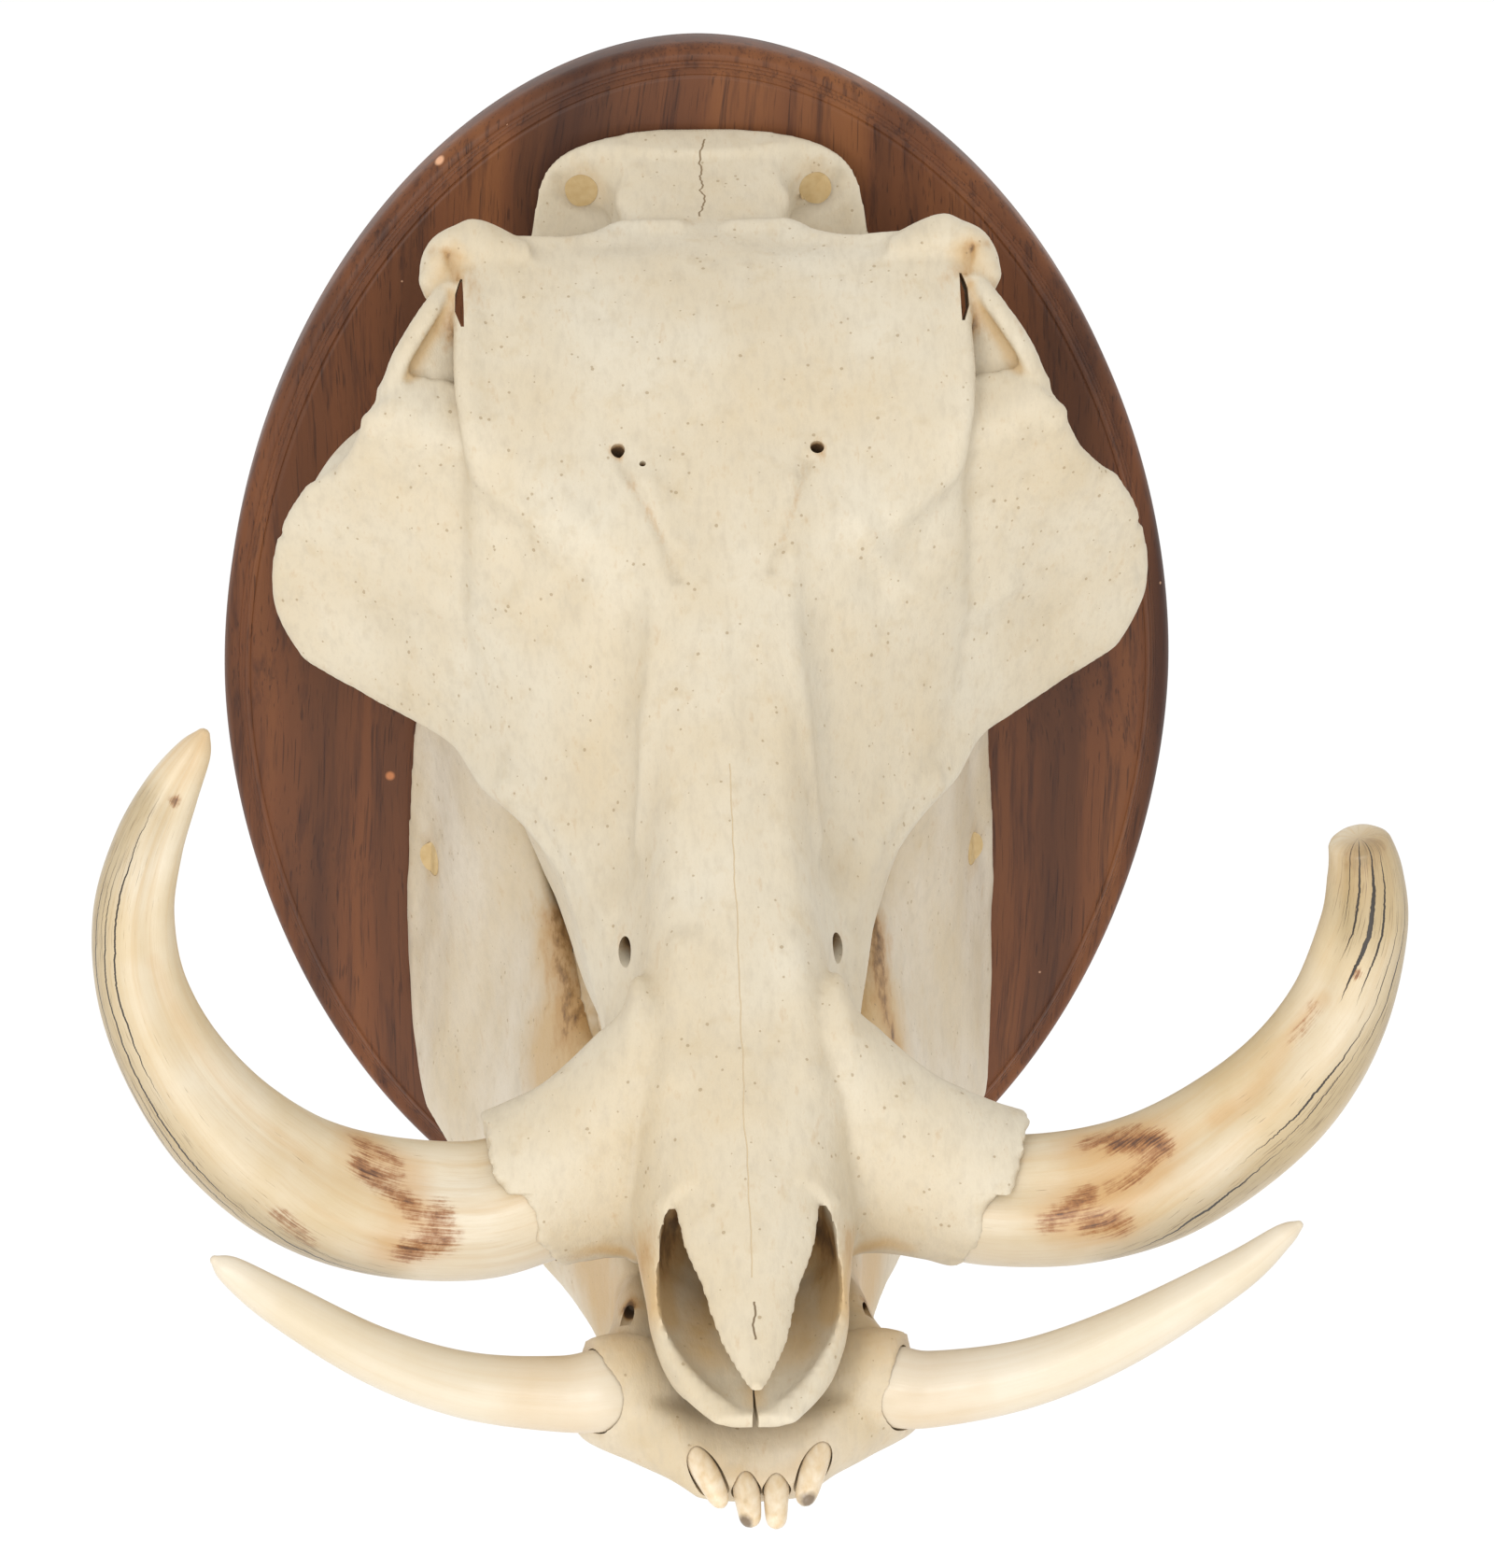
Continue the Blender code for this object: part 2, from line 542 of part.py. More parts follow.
def build_mandible(bone, cutters):
    bm = bmesh.new()
    for side in (-1, 1):
        jaw_side(bm, side)
        ball(bm, on_side(JAW_KNOB[0], side), JAW_KNOB[1])
    section_solid(bm, CHIN, 40, 18)
    both_sides(bar, bm, LOWER_SLEEVE, 12, 20)
    item = new_object("mandible", bm, bone)
    fuse(item, MANDIBLE_TRIANGLES)
    clear_of_board(item)
    cut(item, cutters)
    return item


# Straight turned piece in world millimetres: (distance, radius) steps along a direction.
def turned(name, start, direction, steps, made=None):
    direction = np.asarray(direction) / np.linalg.norm(direction)
    across = np.cross(direction, (0.0, 0.0, 1.0))
    across /= np.linalg.norm(across)
    up = np.cross(across, direction)
    rings = []
    for distance, radius in steps:
        turns = [2 * math.pi * k / SCREW_SIDES for k in range(SCREW_SIDES)]
        rings.append([(start + distance * direction + radius * (across * math.cos(a) + up * math.sin(a))) * MM
                      for a in turns])
    bm = bmesh.new()
    loft(bm, rings)
    return new_object(name, bm, made)


# Drives one screw through the bone into the board, and closes the hole over its head with filler.
def fasten(name, bone_item, board_item, place, direction, side, steel, filler):
    direction = np.array(direction) * (side, 1, 1)
    direction /= np.linalg.norm(direction)
    aim = to_world(np.array(place) * (side, 1, 1)) / MM
    start = aim - direction * 40
    hit, face, *rest = bone_item.ray_cast(start * MM, direction, distance=0.08)
    face = np.array(face) / MM
    tip = (SCREW_IN_BOARD - BOARD_THICKNESS - face[1]) / direction[1]
    head = PLUG_DEPTH + GAP
    neck = head + SCREW_HEAD_DEPTH
    bore = [(-6, PLUG_RADIUS + GAP), (neck - 0.4, PLUG_RADIUS + GAP), (neck + GAP, SCREW_RADIUS + GAP),
            (tip + GAP, SCREW_RADIUS + GAP)]
    cut(bone_item, [turned("bore", face, direction, bore)])
    cut(board_item, [turned("bore", face, direction, [(8, SCREW_RADIUS + GAP), (tip + GAP, SCREW_RADIUS + GAP)])])
    shape = [(head, SCREW_HEAD_RADIUS), (head + 0.6, SCREW_HEAD_RADIUS), (neck, SCREW_RADIUS),
             (tip - 4, SCREW_RADIUS), (tip, 0.4)]
    turned(f"screw_{name}", face, direction, shape, steel)
    turned(f"plug_{name}", face, direction, [(0.1, PLUG_RADIUS), (PLUG_DEPTH, PLUG_RADIUS)], filler)


def solid_bar(name, path, made, rings, sides):
    bm = bmesh.new()
    bar(bm, path, rings, sides)
    return new_object(name, bm, made)


def main():
    clear_scene()
    bone = material("bone", (0.75, 0.68, 0.55), 0.6)
    ivory = material("ivory", (0.80, 0.72, 0.56), 0.3)
    enamel = material("tooth", (0.74, 0.65, 0.48), 0.35)
    steel = material("screw steel", (0.45, 0.45, 0.45), 0.4, 1.0)
    filler = material("filler", (0.62, 0.47, 0.27), 0.7)
    board = build_board()
    tusks = {"upper_tusk_left": UPPER_TUSK_LEFT, "upper_tusk_right": UPPER_TUSK_RIGHT}
    lower_tusks = {"lower_tusk_left": LOWER_TUSK_LEFT, "lower_tusk_right": LOWER_TUSK_RIGHT}
    for name, path in {**tusks, **lower_tusks}.items():
        solid_bar(name, path, ivory, TUSK_RINGS, TUSK_SIDES)
    for name, path in INCISORS.items():
        solid_bar(name, path, enamel, INCISOR_RINGS, INCISOR_SIDES)

    above = [socket(path, TUSK_RINGS, TUSK_SIDES, 7) for path in tusks.values()]
    below = [socket(path, TUSK_RINGS, TUSK_SIDES, 6) for path in lower_tusks.values()]
    below += [socket(path, INCISOR_RINGS, INCISOR_SIDES, 6) for path in INCISORS.values()]
    for side, label in ((-1, "left"), (1, "right")):
        upper = (on_side(UPPER_MOLARS[0], side), UPPER_MOLARS[1])
        lower = (on_side(LOWER_MOLARS[0], side), LOWER_MOLARS[1])
        tooth_block(f"upper_molar_{label}", *upper, enamel)
        tooth_block(f"lower_molar_{label}", *lower, enamel)
        above.append(tooth_block("socket", *upper, None, TOOTH_GAP))
        below.append(tooth_block("socket", *lower, None, TOOTH_GAP))
        for place, direction, radius, depth in HOLES:
            above.append(straight_hole(on_side(place, side), on_side(direction, side), radius, depth))
    bones = {"skull": build_cranium(bone, above), "jaw": build_mandible(bone, below)}
    for label, (place, direction) in SCREWS.items():
        for side, side_name in ((-1, "left"), (1, "right")):
            fasten(f"{label}_{side_name}", bones[label], board, place, direction, side, steel, filler)
    for item in bpy.data.objects:
        smooth_shading(item)


main()
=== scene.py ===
# Dressed warthog skull on an oval board: fine bone, worn tusks, teeth and varnished walnut.
import math

import bmesh
import bpy
import numpy as np
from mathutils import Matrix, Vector, noise
from mathutils.bvhtree import BVHTree


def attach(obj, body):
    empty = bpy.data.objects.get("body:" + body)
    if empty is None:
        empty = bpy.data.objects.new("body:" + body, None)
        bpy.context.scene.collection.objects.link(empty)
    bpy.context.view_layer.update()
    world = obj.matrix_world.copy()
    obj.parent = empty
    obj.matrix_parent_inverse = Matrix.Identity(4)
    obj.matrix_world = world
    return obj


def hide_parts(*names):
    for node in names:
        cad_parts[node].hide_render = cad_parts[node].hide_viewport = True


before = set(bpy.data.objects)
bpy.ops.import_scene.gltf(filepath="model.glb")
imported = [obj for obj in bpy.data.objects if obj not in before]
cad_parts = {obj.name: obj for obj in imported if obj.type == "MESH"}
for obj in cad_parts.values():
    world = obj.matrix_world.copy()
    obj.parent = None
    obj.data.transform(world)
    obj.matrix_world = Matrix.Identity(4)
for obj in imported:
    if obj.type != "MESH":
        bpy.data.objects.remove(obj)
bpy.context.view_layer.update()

MM = 0.001

# Board, in millimetres. A roundness of 2 would make its outline an ellipse.
BOARD_WIDTH = 279.0
BOARD_HEIGHT = 378.0
BOARD_THICKNESS = 20.0
BOARD_ROUNDNESS = 1.9

# Skull axes: s runs forwards along the skull, d upwards from the biting plane, x to the side.
SKULL_PITCH = math.radians(21.0)
SKULL_ZERO_Y = 31.5
SKULL_ZERO_Z = 19.8
# Gap to the board, and the clearance round a tooth in its socket.
GAP = 0.3
TOOTH_GAP = 0.35

# Fineness of the bone meshes in millimetres.
BONE_VOXEL = 1.15
# Triangles of each bone before its sockets are cut, so that it stays under 200,000 with them.
CRANIUM_TRIANGLES = 190000
MANDIBLE_TRIANGLES = 165000
# Faces that meet at more than this angle show an edge.
SHARP_ANGLE = math.radians(50.0)

# Where marks lie is painted into this attribute: tan blots in its red, brown stains in its green, and in
# its blue the dry grey side of a tusk, and painted shade in the hollows of a bone or of a tusk's grooves.
MARKS_AND_SHADE = "marks"
TAN, BROWN, DRY_AND_HOLLOW_SHADE = 0, 1, 2
# A path is followed in so many steps for each of its points, and fades out within so many widths.
STEPS_PER_POINT = 12
WIDTHS_TO_FADE = 3
# Hollows get painted shade; they are found by smoothing the mesh in so many rounds, full at so many mm deep.
HOLLOW_ROUNDS = 14
FULL_HOLLOW = 1.2
# Every bar's rings start across this direction, which no bar runs along at its root.
RING_START = (0.0, 0.3, 1.0)
# How square the free rim of a bone plate is, and the least share of its thickness there, squared.
RIM_POWER = 6
RIM_LEAST = 0.02

# Cranium: the main mass from the braincase to the snout.
CORE = [
    (4, [(0, 155), (20, 155), (30, 153), (35, 147), (37, 132), (40, 108), (38, 84), (26, 68), (0, 66)]),
    (14, [(0, 154.5), (17, 154.5), (25, 151), (28, 146), (31, 132), (38, 108), (38, 80), (24, 60), (0, 58)]),
    (26, [(0, 154), (16, 154), (23, 152), (25, 146), (28, 132), (37, 108), (38, 80), (26, 54), (0, 50)]),
    (40, [(0, 155), (14, 155), (22, 153), (24, 147), (27, 130), (36, 106), (37, 80), (26, 52), (0, 46)]),
    (54, [(0, 158), (18, 158), (32, 160), (35, 155), (31, 136), (37, 108), (37, 80), (26, 52), (0, 44)]),
    (66, [(0, 160), (30, 161), (58, 166), (62, 161), (40, 144), (38, 110), (38, 80), (28, 52), (0, 42)]),
    (80, [(0, 160), (34, 160), (64, 165), (68, 159), (44, 144), (39, 112), (38, 80), (28, 50), (0, 40)]),
    (98, [(0, 157), (34, 156), (62, 160), (68, 156), (46, 140), (39, 112), (38, 78), (30, 44), (0, 34)]),
    (114, [(0, 151), (34, 150), (62, 154), (68, 149), (54, 134), (42, 106), (40, 72), (34, 36), (0, 28)]),
    (126, [(0, 145), (32, 144), (60, 147), (66, 142), (66, 124), (56, 96), (46, 62), (36, 28), (0, 22)]),
    (142, [(0, 138), (28, 137), (50, 136), (61, 124), (66, 104), (66, 82), (58, 58), (37, 18), (0, 18)]),
    (160, [(0, 129), (14, 129), (30, 123), (44, 110), (55, 92), (62, 74), (58, 54), (38, 12), (0, 16)]),
    (180, [(0, 120), (13, 119), (24, 111), (34, 96), (44, 79), (51, 67), (49, 52), (36, 10), (0, 15)]),
    (202, [(0, 111), (13, 109), (20, 101), (25, 89), (32, 74), (42, 59), (41, 46), (33, 10), (0, 15)]),
    (226, [(0, 102), (12, 100), (18, 93), (22, 81), (27, 68), (36, 52), (36, 41), (28, 14), (0, 16)]),
    (256, [(0, 91), (14, 89), (21, 81), (25, 69), (29, 55), (32, 43), (31, 31), (24, 18), (0, 18)]),
    (286, [(0, 81), (15, 79), (25, 72), (31, 61), (34, 48), (33, 36), (29, 25), (21, 19), (0, 19)]),
    (312, [(0, 73), (13, 71.5), (21, 66), (26, 56), (29, 45), (28, 35), (24, 26), (16, 21), (0, 20)]),
    (334, [(0, 63), (12, 62.5), (19, 59), (24, 51), (25.5, 42), (25, 34), (21.5, 28.5), (14, 24), (0, 22)]),
    (350, [(0, 47), (11, 47), (19.5, 46), (23.3, 43), (24, 38), (22.5, 33), (18, 29), (11, 25), (0, 23.5)]),
    (359, [(0, 43.5), (10, 43.5), (16.5, 43), (20.5, 40.5), (21.2, 36), (19.5, 30), (15.5, 25), (9, 23),
     (0, 22.5)]),
    (368, [(0, 41), (8.5, 41), (13, 40.5), (16.2, 39), (16.8, 36), (15, 32.5), (11.5, 30.5), (7, 29.5),
     (0, 29.5)]),
    (378, [(0, 38.5), (5, 38.5), (8, 38.2), (9.5, 37.6), (9.8, 36.8), (9, 36), (7, 35.5), (4, 35), (0, 35)]),
]

# Nose cavity, open above in front of the notches beside the nasal bones.
CAVITY = [
    (268, [(0, 58), (6, 56), (9, 50), (9, 44), (8, 38), (5, 35), (0, 34)]),
    (300, [(0, 62), (9, 60), (15, 54), (17, 46), (16, 38), (9, 31), (0, 30)]),
    (322, [(0, 63), (11, 62), (17, 58), (20, 50), (20, 38), (11, 29), (0, 28)]),
    (331, [(0, 76), (14, 75), (18.5, 69), (21.3, 52), (20.8, 40), (12, 31), (0, 30)]),
    (350, [(0, 72), (15, 70), (20.5, 58), (21.8, 46), (19, 39), (12, 35.5), (0, 34.5)]),
    (366, [(0, 66), (10, 65), (14, 56), (14.6, 44), (12, 39.3), (7.5, 37.2), (0, 36.8)]),
    (376, [(0, 60), (3, 59), (4.5, 54), (5, 46), (4.5, 40), (2.8, 38.4), (0, 38)]),
]

# Nasal bones, a tapering arched roof that ends in a point.
NASALS = [
    (300, [(0, 76.5), (10, 75), (18, 70), (19, 66), (12, 66), (0, 68)]),
    (334, [(0, 66.5), (8.5, 65), (16, 61), (16.5, 57.5), (9.5, 58), (0, 60)]),
    (350, [(0, 61), (6.5, 60), (11.3, 57), (11.8, 54), (6.5, 54.5), (0, 56)]),
    (366, [(0, 55.5), (4.3, 55), (7.4, 53), (7.6, 50.5), (4.3, 50.5), (0, 51)]),
    (378, [(0, 51.5), (1.2, 51.3), (2.2, 50.5), (2.3, 49.3), (1.2, 48.8), (0, 48.6)]),
]

# Nape plate at the back of the skull: height d, half width, and forward place.
NAPE = [
    (156.5, 24, 4), (154, 36, 5), (148, 44, 7), (138, 47.5, 11), (120, 49, 17), (98, 48, 24), (76, 40, 32),
    (58, 26, 40),
]
NAPE_THICKNESS = 13.0
NAPE_KNOB = ((20, 42, 62), (13, 13, 15))

# Cheek plate, from the lobe under the eye socket round the wing to the tooth row.
CHEEK = [
    [(58, 109, 140), (72, 105.5, 145.5), (83, 106, 147.5)],
    [(56, 120, 138), (76, 118, 141), (89, 114, 148)],
    [(56, 124, 134), (80, 119, 134), (94, 115, 141)],
    [(56, 130, 124), (85, 121, 120), (99, 114, 130)],
    [(56, 135, 116), (88, 122, 108), (109, 109, 116)],
    [(56, 140, 106), (90, 123, 94), (117, 107, 97)],
    [(56, 144, 98), (88, 125, 82), (119, 109, 77)],
    [(56, 148, 92), (84, 131, 74), (112, 115, 63)],
    [(56, 152, 86), (76, 139, 69), (97, 125, 58.5)],
    [(55, 158, 80), (69, 148, 67), (82, 137, 57.5)],
    [(50, 166, 75), (61, 160, 65), (71, 151, 59)],
    [(43, 178, 70), (53, 174, 63), (64, 167, 58)],
    [(34, 194, 66), (42, 190, 60), (53, 183, 58)],
    [(26, 210, 60), (33, 207, 54), (42, 202, 54)],
    [(20, 226, 52), (25, 223, 47), (34, 218, 46)],
]
CHEEK_THICKNESS = 9.0

# Bar of the cheekbone behind the eye socket, and the hook of the brow above it.
ORBIT_BAR = [
    [(62, 118, 126), (80, 117, 134), (92, 113, 145)],
    [(60, 108, 124), (75, 107, 134), (86, 104, 149)],
    [(58, 98, 130), (70, 98, 143), (80, 97, 155.5)],
    [(56, 89, 144), (66, 89, 154), (75, 89, 162)],
    [(58, 82, 150), (67, 82, 158), (74.5, 82, 164)],
]
ORBIT_BAR_THICKNESS = 6.5
BROW_HOOK = [
    (50, 68, 160, 7), (63, 69, 165, 6.8), (70.5, 72, 165.8, 6.2), (73, 77, 162, 5.6), (72, 81.5, 158, 4.6),
]

# Arch from the wing back to the side of the braincase.
ARCH = [
    (108, 116, 84, 9), (104, 92, 84, 12), (94, 70, 88, 12.5), (78, 54, 89, 13), (54, 48, 88, 14),
    (30, 50, 86, 15),
]

# Sleeve of bone round the root of the upper tusk: (x, s, d), half its height and half its depth.
TUSK_SLEEVE = [
    (8, 289.3, 51.3, 20, 18), (24, 287.9, 51.4, 36, 19), (30, 291.5, 49.2, 31, 19),
    (38, 294.9, 46.1, 26.7, 19), (47, 297.6, 42.6, 23.7, 19.4), (57, 299.7, 39.4, 22.7, 20),
    (68, 301.3, 36.5, 21.3, 20.3), (80, 302.5, 35.5, 19.5, 20.3),
]
SLEEVE_TILT = math.radians(41.0)
SLEEVE_MOUTH = {-1: (-68, 295, 63), 1: (74, 298, 61)}
MOUTH_FACING = (0.868, 0.328, -0.377)

# Tusks: (x, s, d, radius), root to tip.
UPPER_TUSK_LEFT = [
    (-34, 298, 44, 15.5), (-52, 301, 38, 17), (-69, 304, 36, 17.5), (-92, 306, 41, 17.4),
    (-111, 307, 51.6, 16.5), (-127, 307, 69, 14.9), (-139, 305, 90, 12.8), (-146, 302, 112, 11),
    (-147, 298, 133, 9.7), (-143, 293, 150, 8.4), (-137, 288, 163, 6.7), (-131, 284, 172.5, 4.2),
    (-128.5, 282, 176.5, 1.6),
]
UPPER_TUSK_RIGHT = [
    (34, 298, 44, 15.5), (48, 301, 38.5, 16.3), (63, 304, 36, 16.6), (84, 306, 38.3, 17),
    (103.5, 307, 46, 16.8), (121, 307, 60, 16), (136, 305, 77, 14.6), (146, 302, 98, 12.6),
    (150.5, 298, 121, 10.8), (150, 295, 136, 9.2), (148, 293, 145, 7.6),
]
LOWER_TUSK_LEFT = [
    (-20, 340, 10, 8), (-34, 349, 18, 10.2), (-47, 351, 19, 9.4), (-70, 351, 23, 8.2), (-92, 350, 33.5, 7.1),
    (-114, 347, 49, 5.6), (-126, 344, 58, 3.6), (-130, 343, 61, 1.2),
]
LOWER_TUSK_RIGHT = [
    (20, 340, 10, 8), (34, 349, 17, 10.2), (46, 351, 17.5, 9.6), (69, 351, 22.5, 8.6), (92, 350, 34, 7.5),
    (118, 347, 52, 5.3), (130, 344, 62, 3.1), (134, 343, 65, 1.2),
]

# Lower jaw: side plate sections (s, top d, bottom d, top x, bottom x, thickness).
JAW = [
    (56, 64, 52, 70, 72, 7), (61, 66, 32, 72, 76, 8), (68, 66, 0, 74, 82, 8), (74, 65, -30, 74, 85, 8),
    (79, 63, -56, 73, 86.5, 8), (86, 60, -82, 71, 86.5, 8), (96, 55, -93, 68, 85.5, 9),
    (113, 44, -97, 62, 83.5, 10), (132, 24, -96, 54, 81, 12), (150, 6, -92, 47, 76, 15),
    (180, 1, -84, 41, 64, 19), (210, 1, -73, 37, 53, 20), (240, 4, -59, 33, 43, 19),
    (270, 7, -44, 29, 35, 18), (300, 9, -31, 26, 29, 16), (326, 11, -18, 22, 23, 14),
]
JAW_KNOB = ((70, 59, 63), (13, 8, 6))

# Chin: the scoop that joins both sides and carries the incisors.
CHIN = [
    (286, [(0, -22), (14, -18), (26, -10), (32, -18), (28, -30), (14, -35), (0, -36)]),
    (304, [(0, 2), (14, 6), (27, 12), (32, 2), (28, -16), (14, -25), (0, -27)]),
    (324, [(0, 10), (14, 13), (28, 19), (34, 11), (31, -4), (14, -14), (0, -16)]),
    (342, [(0, 13.5), (14, 15), (32, 24.5), (41, 17), (40, 2), (18, -6), (0, -8)]),
    (352, [(0, 14.5), (14, 16), (30, 22.5), (40, 15), (41, 3), (18, -3), (0, -4)]),
    (362, [(0, 17), (10, 18.5), (22, 21.5), (31, 15.5), (30, 6), (14, 1), (0, 0)]),
    (371, [(0, 18), (8, 19), (16, 19.5), (22, 15), (20.5, 9), (10, 5.5), (0, 5)]),
    (379, [(0, 15), (6, 15.5), (11, 15.5), (14, 13.5), (13, 10.5), (7, 9), (0, 8.5)]),
]
LOWER_SLEEVE = [(14, 338, 9, 8.5), (24, 343.5, 13, 12), (32, 346.5, 16.3, 13.2), (38.5, 348.3, 17.5, 12.4)]
INCISORS = {
    "incisor_left_outer": [
        (-18.5, 357, 14.5, 2.6), (-16, 364, 15.8, 3.0), (-14.2, 369.5, 16.3, 3.2), (-11, 376.5, 15.6, 3.2),
        (-7.6, 383.5, 12.6, 2.2),
    ],
    "incisor_left_inner": [
        (-3, 362, 10.5, 2.6), (-2.6, 370, 12.2, 3.0), (-2.2, 376, 13.2, 3.2), (-1.5, 382, 12.6, 3.15),
        (-1, 388, 10.4, 2.4),
    ],
    "incisor_right_inner": [
        (6.3, 362, 10.5, 2.6), (6.1, 370, 12.2, 3.0), (5.8, 376, 13.2, 3.1), (5.3, 382, 12.6, 3.0),
        (5.1, 388.5, 10.2, 2.4),
    ],
    "incisor_right_outer": [
        (19.5, 357, 14.5, 2.6), (17.8, 364, 15.8, 3.0), (16.4, 369.5, 16.3, 3.2), (14.2, 376.5, 15.6, 3.2),
        (11.8, 383.5, 12.6, 2.4),
    ],
}
UPPER_MOLARS = ((27, 180, 8), (14, 58, 15))
LOWER_MOLARS = ((34, 184, -7.5), (12, 62, 14))

# Holes for nerves and vessels: centre, direction along the hole, radius and depth.
HOLES = [
    ((26.4, 130, 145), (0, -0.35, -1.0), 1.9, 14),
    ((27, 237, 62), (-0.45, -0.75, -0.25), 3.4, 22),
]

# Sides that a stroke or mark is on; one in the middle, or given with its own sign, is made once.
BOTH = (1, -1)
LEFT = (-1,)
RIGHT = (1,)
MIDDLE = (1,)

SIDES = ((-1, "left"), (1, "right"))

# Height of the waves in the lower edge of the jaw.
JAW_WAVE = 1.6

# Filler over a screw: its radius, how uneven that is, how far it stands proud of the bone, its usual and
# its greatest depth, and the gap round it in its bore, which starts outside the bone.
PLUG_RADIUS = 4.6
PLUG_WAVER = 0.3
PLUG_PROUD = 0.12
PLUG_DEPTH = 2.5
PLUG_DEEPEST = 4.0
PLUG_GAP = 0.05
BORE_START = 3.0
# The face of the bone is looked for along a line over each screw: its start and its length, in metres.
LOOK_FROM = 0.04
LOOK_LENGTH = 0.06
# Screw under it: depth of the head, and the radius and length of the clearance for its shank.
SCREW_HEAD_DEPTH = 2.4
SCREW_WAY_RADIUS = 2.4
SCREW_WAY_LENGTH = 60.0

# The middle of the board counts as so many centimetres in, on the map of how far in each place lies.
BOARD_MIDDLE_INSET = 2.0
# Board edge from the back to the face: how far in, and how far forward.
BOARD_SIDES = 360
BOARD_EDGE = [
    (1.2, 0.0), (0.4, 0.3), (0.0, 1.2), (0.0, 6.0), (0.0, 12.0), (0.3, 13.6), (1.0, 15.0), (2.0, 16.0),
    (3.2, 16.5), (4.4, 16.55), (4.5, 16.9), (4.9, 17.25), (5.3, 17.3), (5.4, 17.7), (5.8, 18.05),
    (6.2, 18.1), (6.3, 18.6), (6.7, 19.3), (7.2, 19.8), (7.7, 20.0), (8.0, 19.8), (8.3, 19.75), (8.6, 20.0),
    (9.4, 20.0), (14.0, 20.0), (40.0, 20.0), (90.0, 20.0),
]
# Marks on the board: x, y, z, radius and colour. The second is a chip in the rim.
WOOD_SPOTS = [(-91.5, -20, -27.4, 1.4, "#B27248"), (-73.5, -15, 156.5, 2.0, "#D3A07C")]

# Pale inner wall of each eye socket.
ORBIT_WALL_THICKNESS = 3.6
ORBIT_WALL = [
    [(58, 112, 137), (68, 109, 143), (79, 107, 146)],
    [(60, 100, 143), (69, 99, 149), (79, 98, 153)],
    [(60, 91, 149), (67, 90, 155), (76, 89, 159)],
]
# Rolled outer rim of the bar: (x, s, d, radius). Slit beside the brow: (s, d, x, width).
ORBIT_RIM = [
    (70, 81, 161, 3), (71.5, 85, 162.5, 3), (76, 94, 160.5, 3.2), (82.3, 103, 153.8, 3.2),
    (85.5, 109, 148.6, 3), (88, 114, 143, 2.5),
]
ORBIT_SLIT = [(83.5, 166, 66.8, 0.6), (88, 164, 66.6, 2.2), (93, 162, 66.5, 2.4), (98, 160.5, 66.5, 0.8)]
# The slit is cut along the line of sight, forwards and up, from outside the bone to inside it.
SIGHT = (0.755, 0.656)
SLIT_START = 6
SLIT_END = -14

# Every hole's cutter starts this far outside the bone.
HOLE_START = 6.0
# Small holes: a second one on the forehead, and those in the chin for its nerves.
SMALL_SKULL_HOLES = [((-20, 133.8, 140.8), (0, -0.4, -1.0), 0.9, 5)]
SMALL_JAW_HOLES = [
    ((-29.0, 324.7, 18.3), (0.2, -0.9, -0.5), 1.6, 9), ((30.5, 322, 16), (-0.2, -0.9, -0.5), 1.3, 9),
]
# Rounded upper end of the notch beside the nasal bones, and the point of these.
NOTCH_END = [(19, 324.5, 60, 1.8), (22.5, 325.5, 57, 1.8)]
NASAL_TIP = ((0, 377.5, 50.2), (2.2, 2.6, 1.5))
# Cleft in the tip of the upper jaw: (s, half width), and from which height to which.
LIP_NOTCH_HEIGHTS = (50, 28)
LIP_NOTCH = [(366, 0.2), (371, 0.3), (375, 0.45), (379, 0.9), (384, 1.8)]

# Fine lines in the skull bone: start and end along it, width, wander, waves and colour.
SKULL_LINES = [
    (0.004, 0.040, 0.00035, 0.009, 90.0, "#7F6A4B"),
    (0.215, 0.352, 0.00020, 0.0016, 60.0, "#BFAA87"),
    (0.358, 0.3675, 0.00034, 0.0018, 160.0, "#6E5A3E"),
]

# Long hollows and ribs of the tusks: place round the tusk, twist, width and depth. They fade in from the
# root, over one part in so many of the tusk.
GROOVE_FADE = 6
LEFT_GROOVES = [(0.69, 0.28, 0.06, 0.10), (0.84, 0.20, 0.05, -0.05), (0.30, 0.1, 0.07, 0.05)]
RIGHT_GROOVES = [(0.71, -0.02, 0.05, 0.10), (0.61, -0.04, 0.05, -0.05), (0.20, 0.0, 0.07, 0.05)]
LOWER_GROOVES = [(0.35, 0.0, 0.09, 0.04), (0.80, 0.0, 0.09, 0.04)]

# A tusk's surface wavers by this share of its radius, with so many waves to the metre.
TUSK_WAVER = 0.006
TUSK_WAVES = 60

# Where the main split runs: length along the tusk in decimetres, and its place round it.
LEFT_TWIST = [
    (0.0, 0.06), (0.59, 0.052), (0.75, 0.035), (0.95, 0.012), (1.15, 0.018), (1.43, 0.03), (1.65, 0.05),
    (2.3, 0.05),
]
RIGHT_TWIST = [
    (0.0, 0.46), (0.61, 0.47), (0.82, 0.515), (1.05, 0.53), (1.30, 0.51), (1.5, 0.455), (1.69, 0.41),
    (1.95, 0.345),
]
NO_TWIST = [(0.0, 0.0), (2.0, 0.0)]

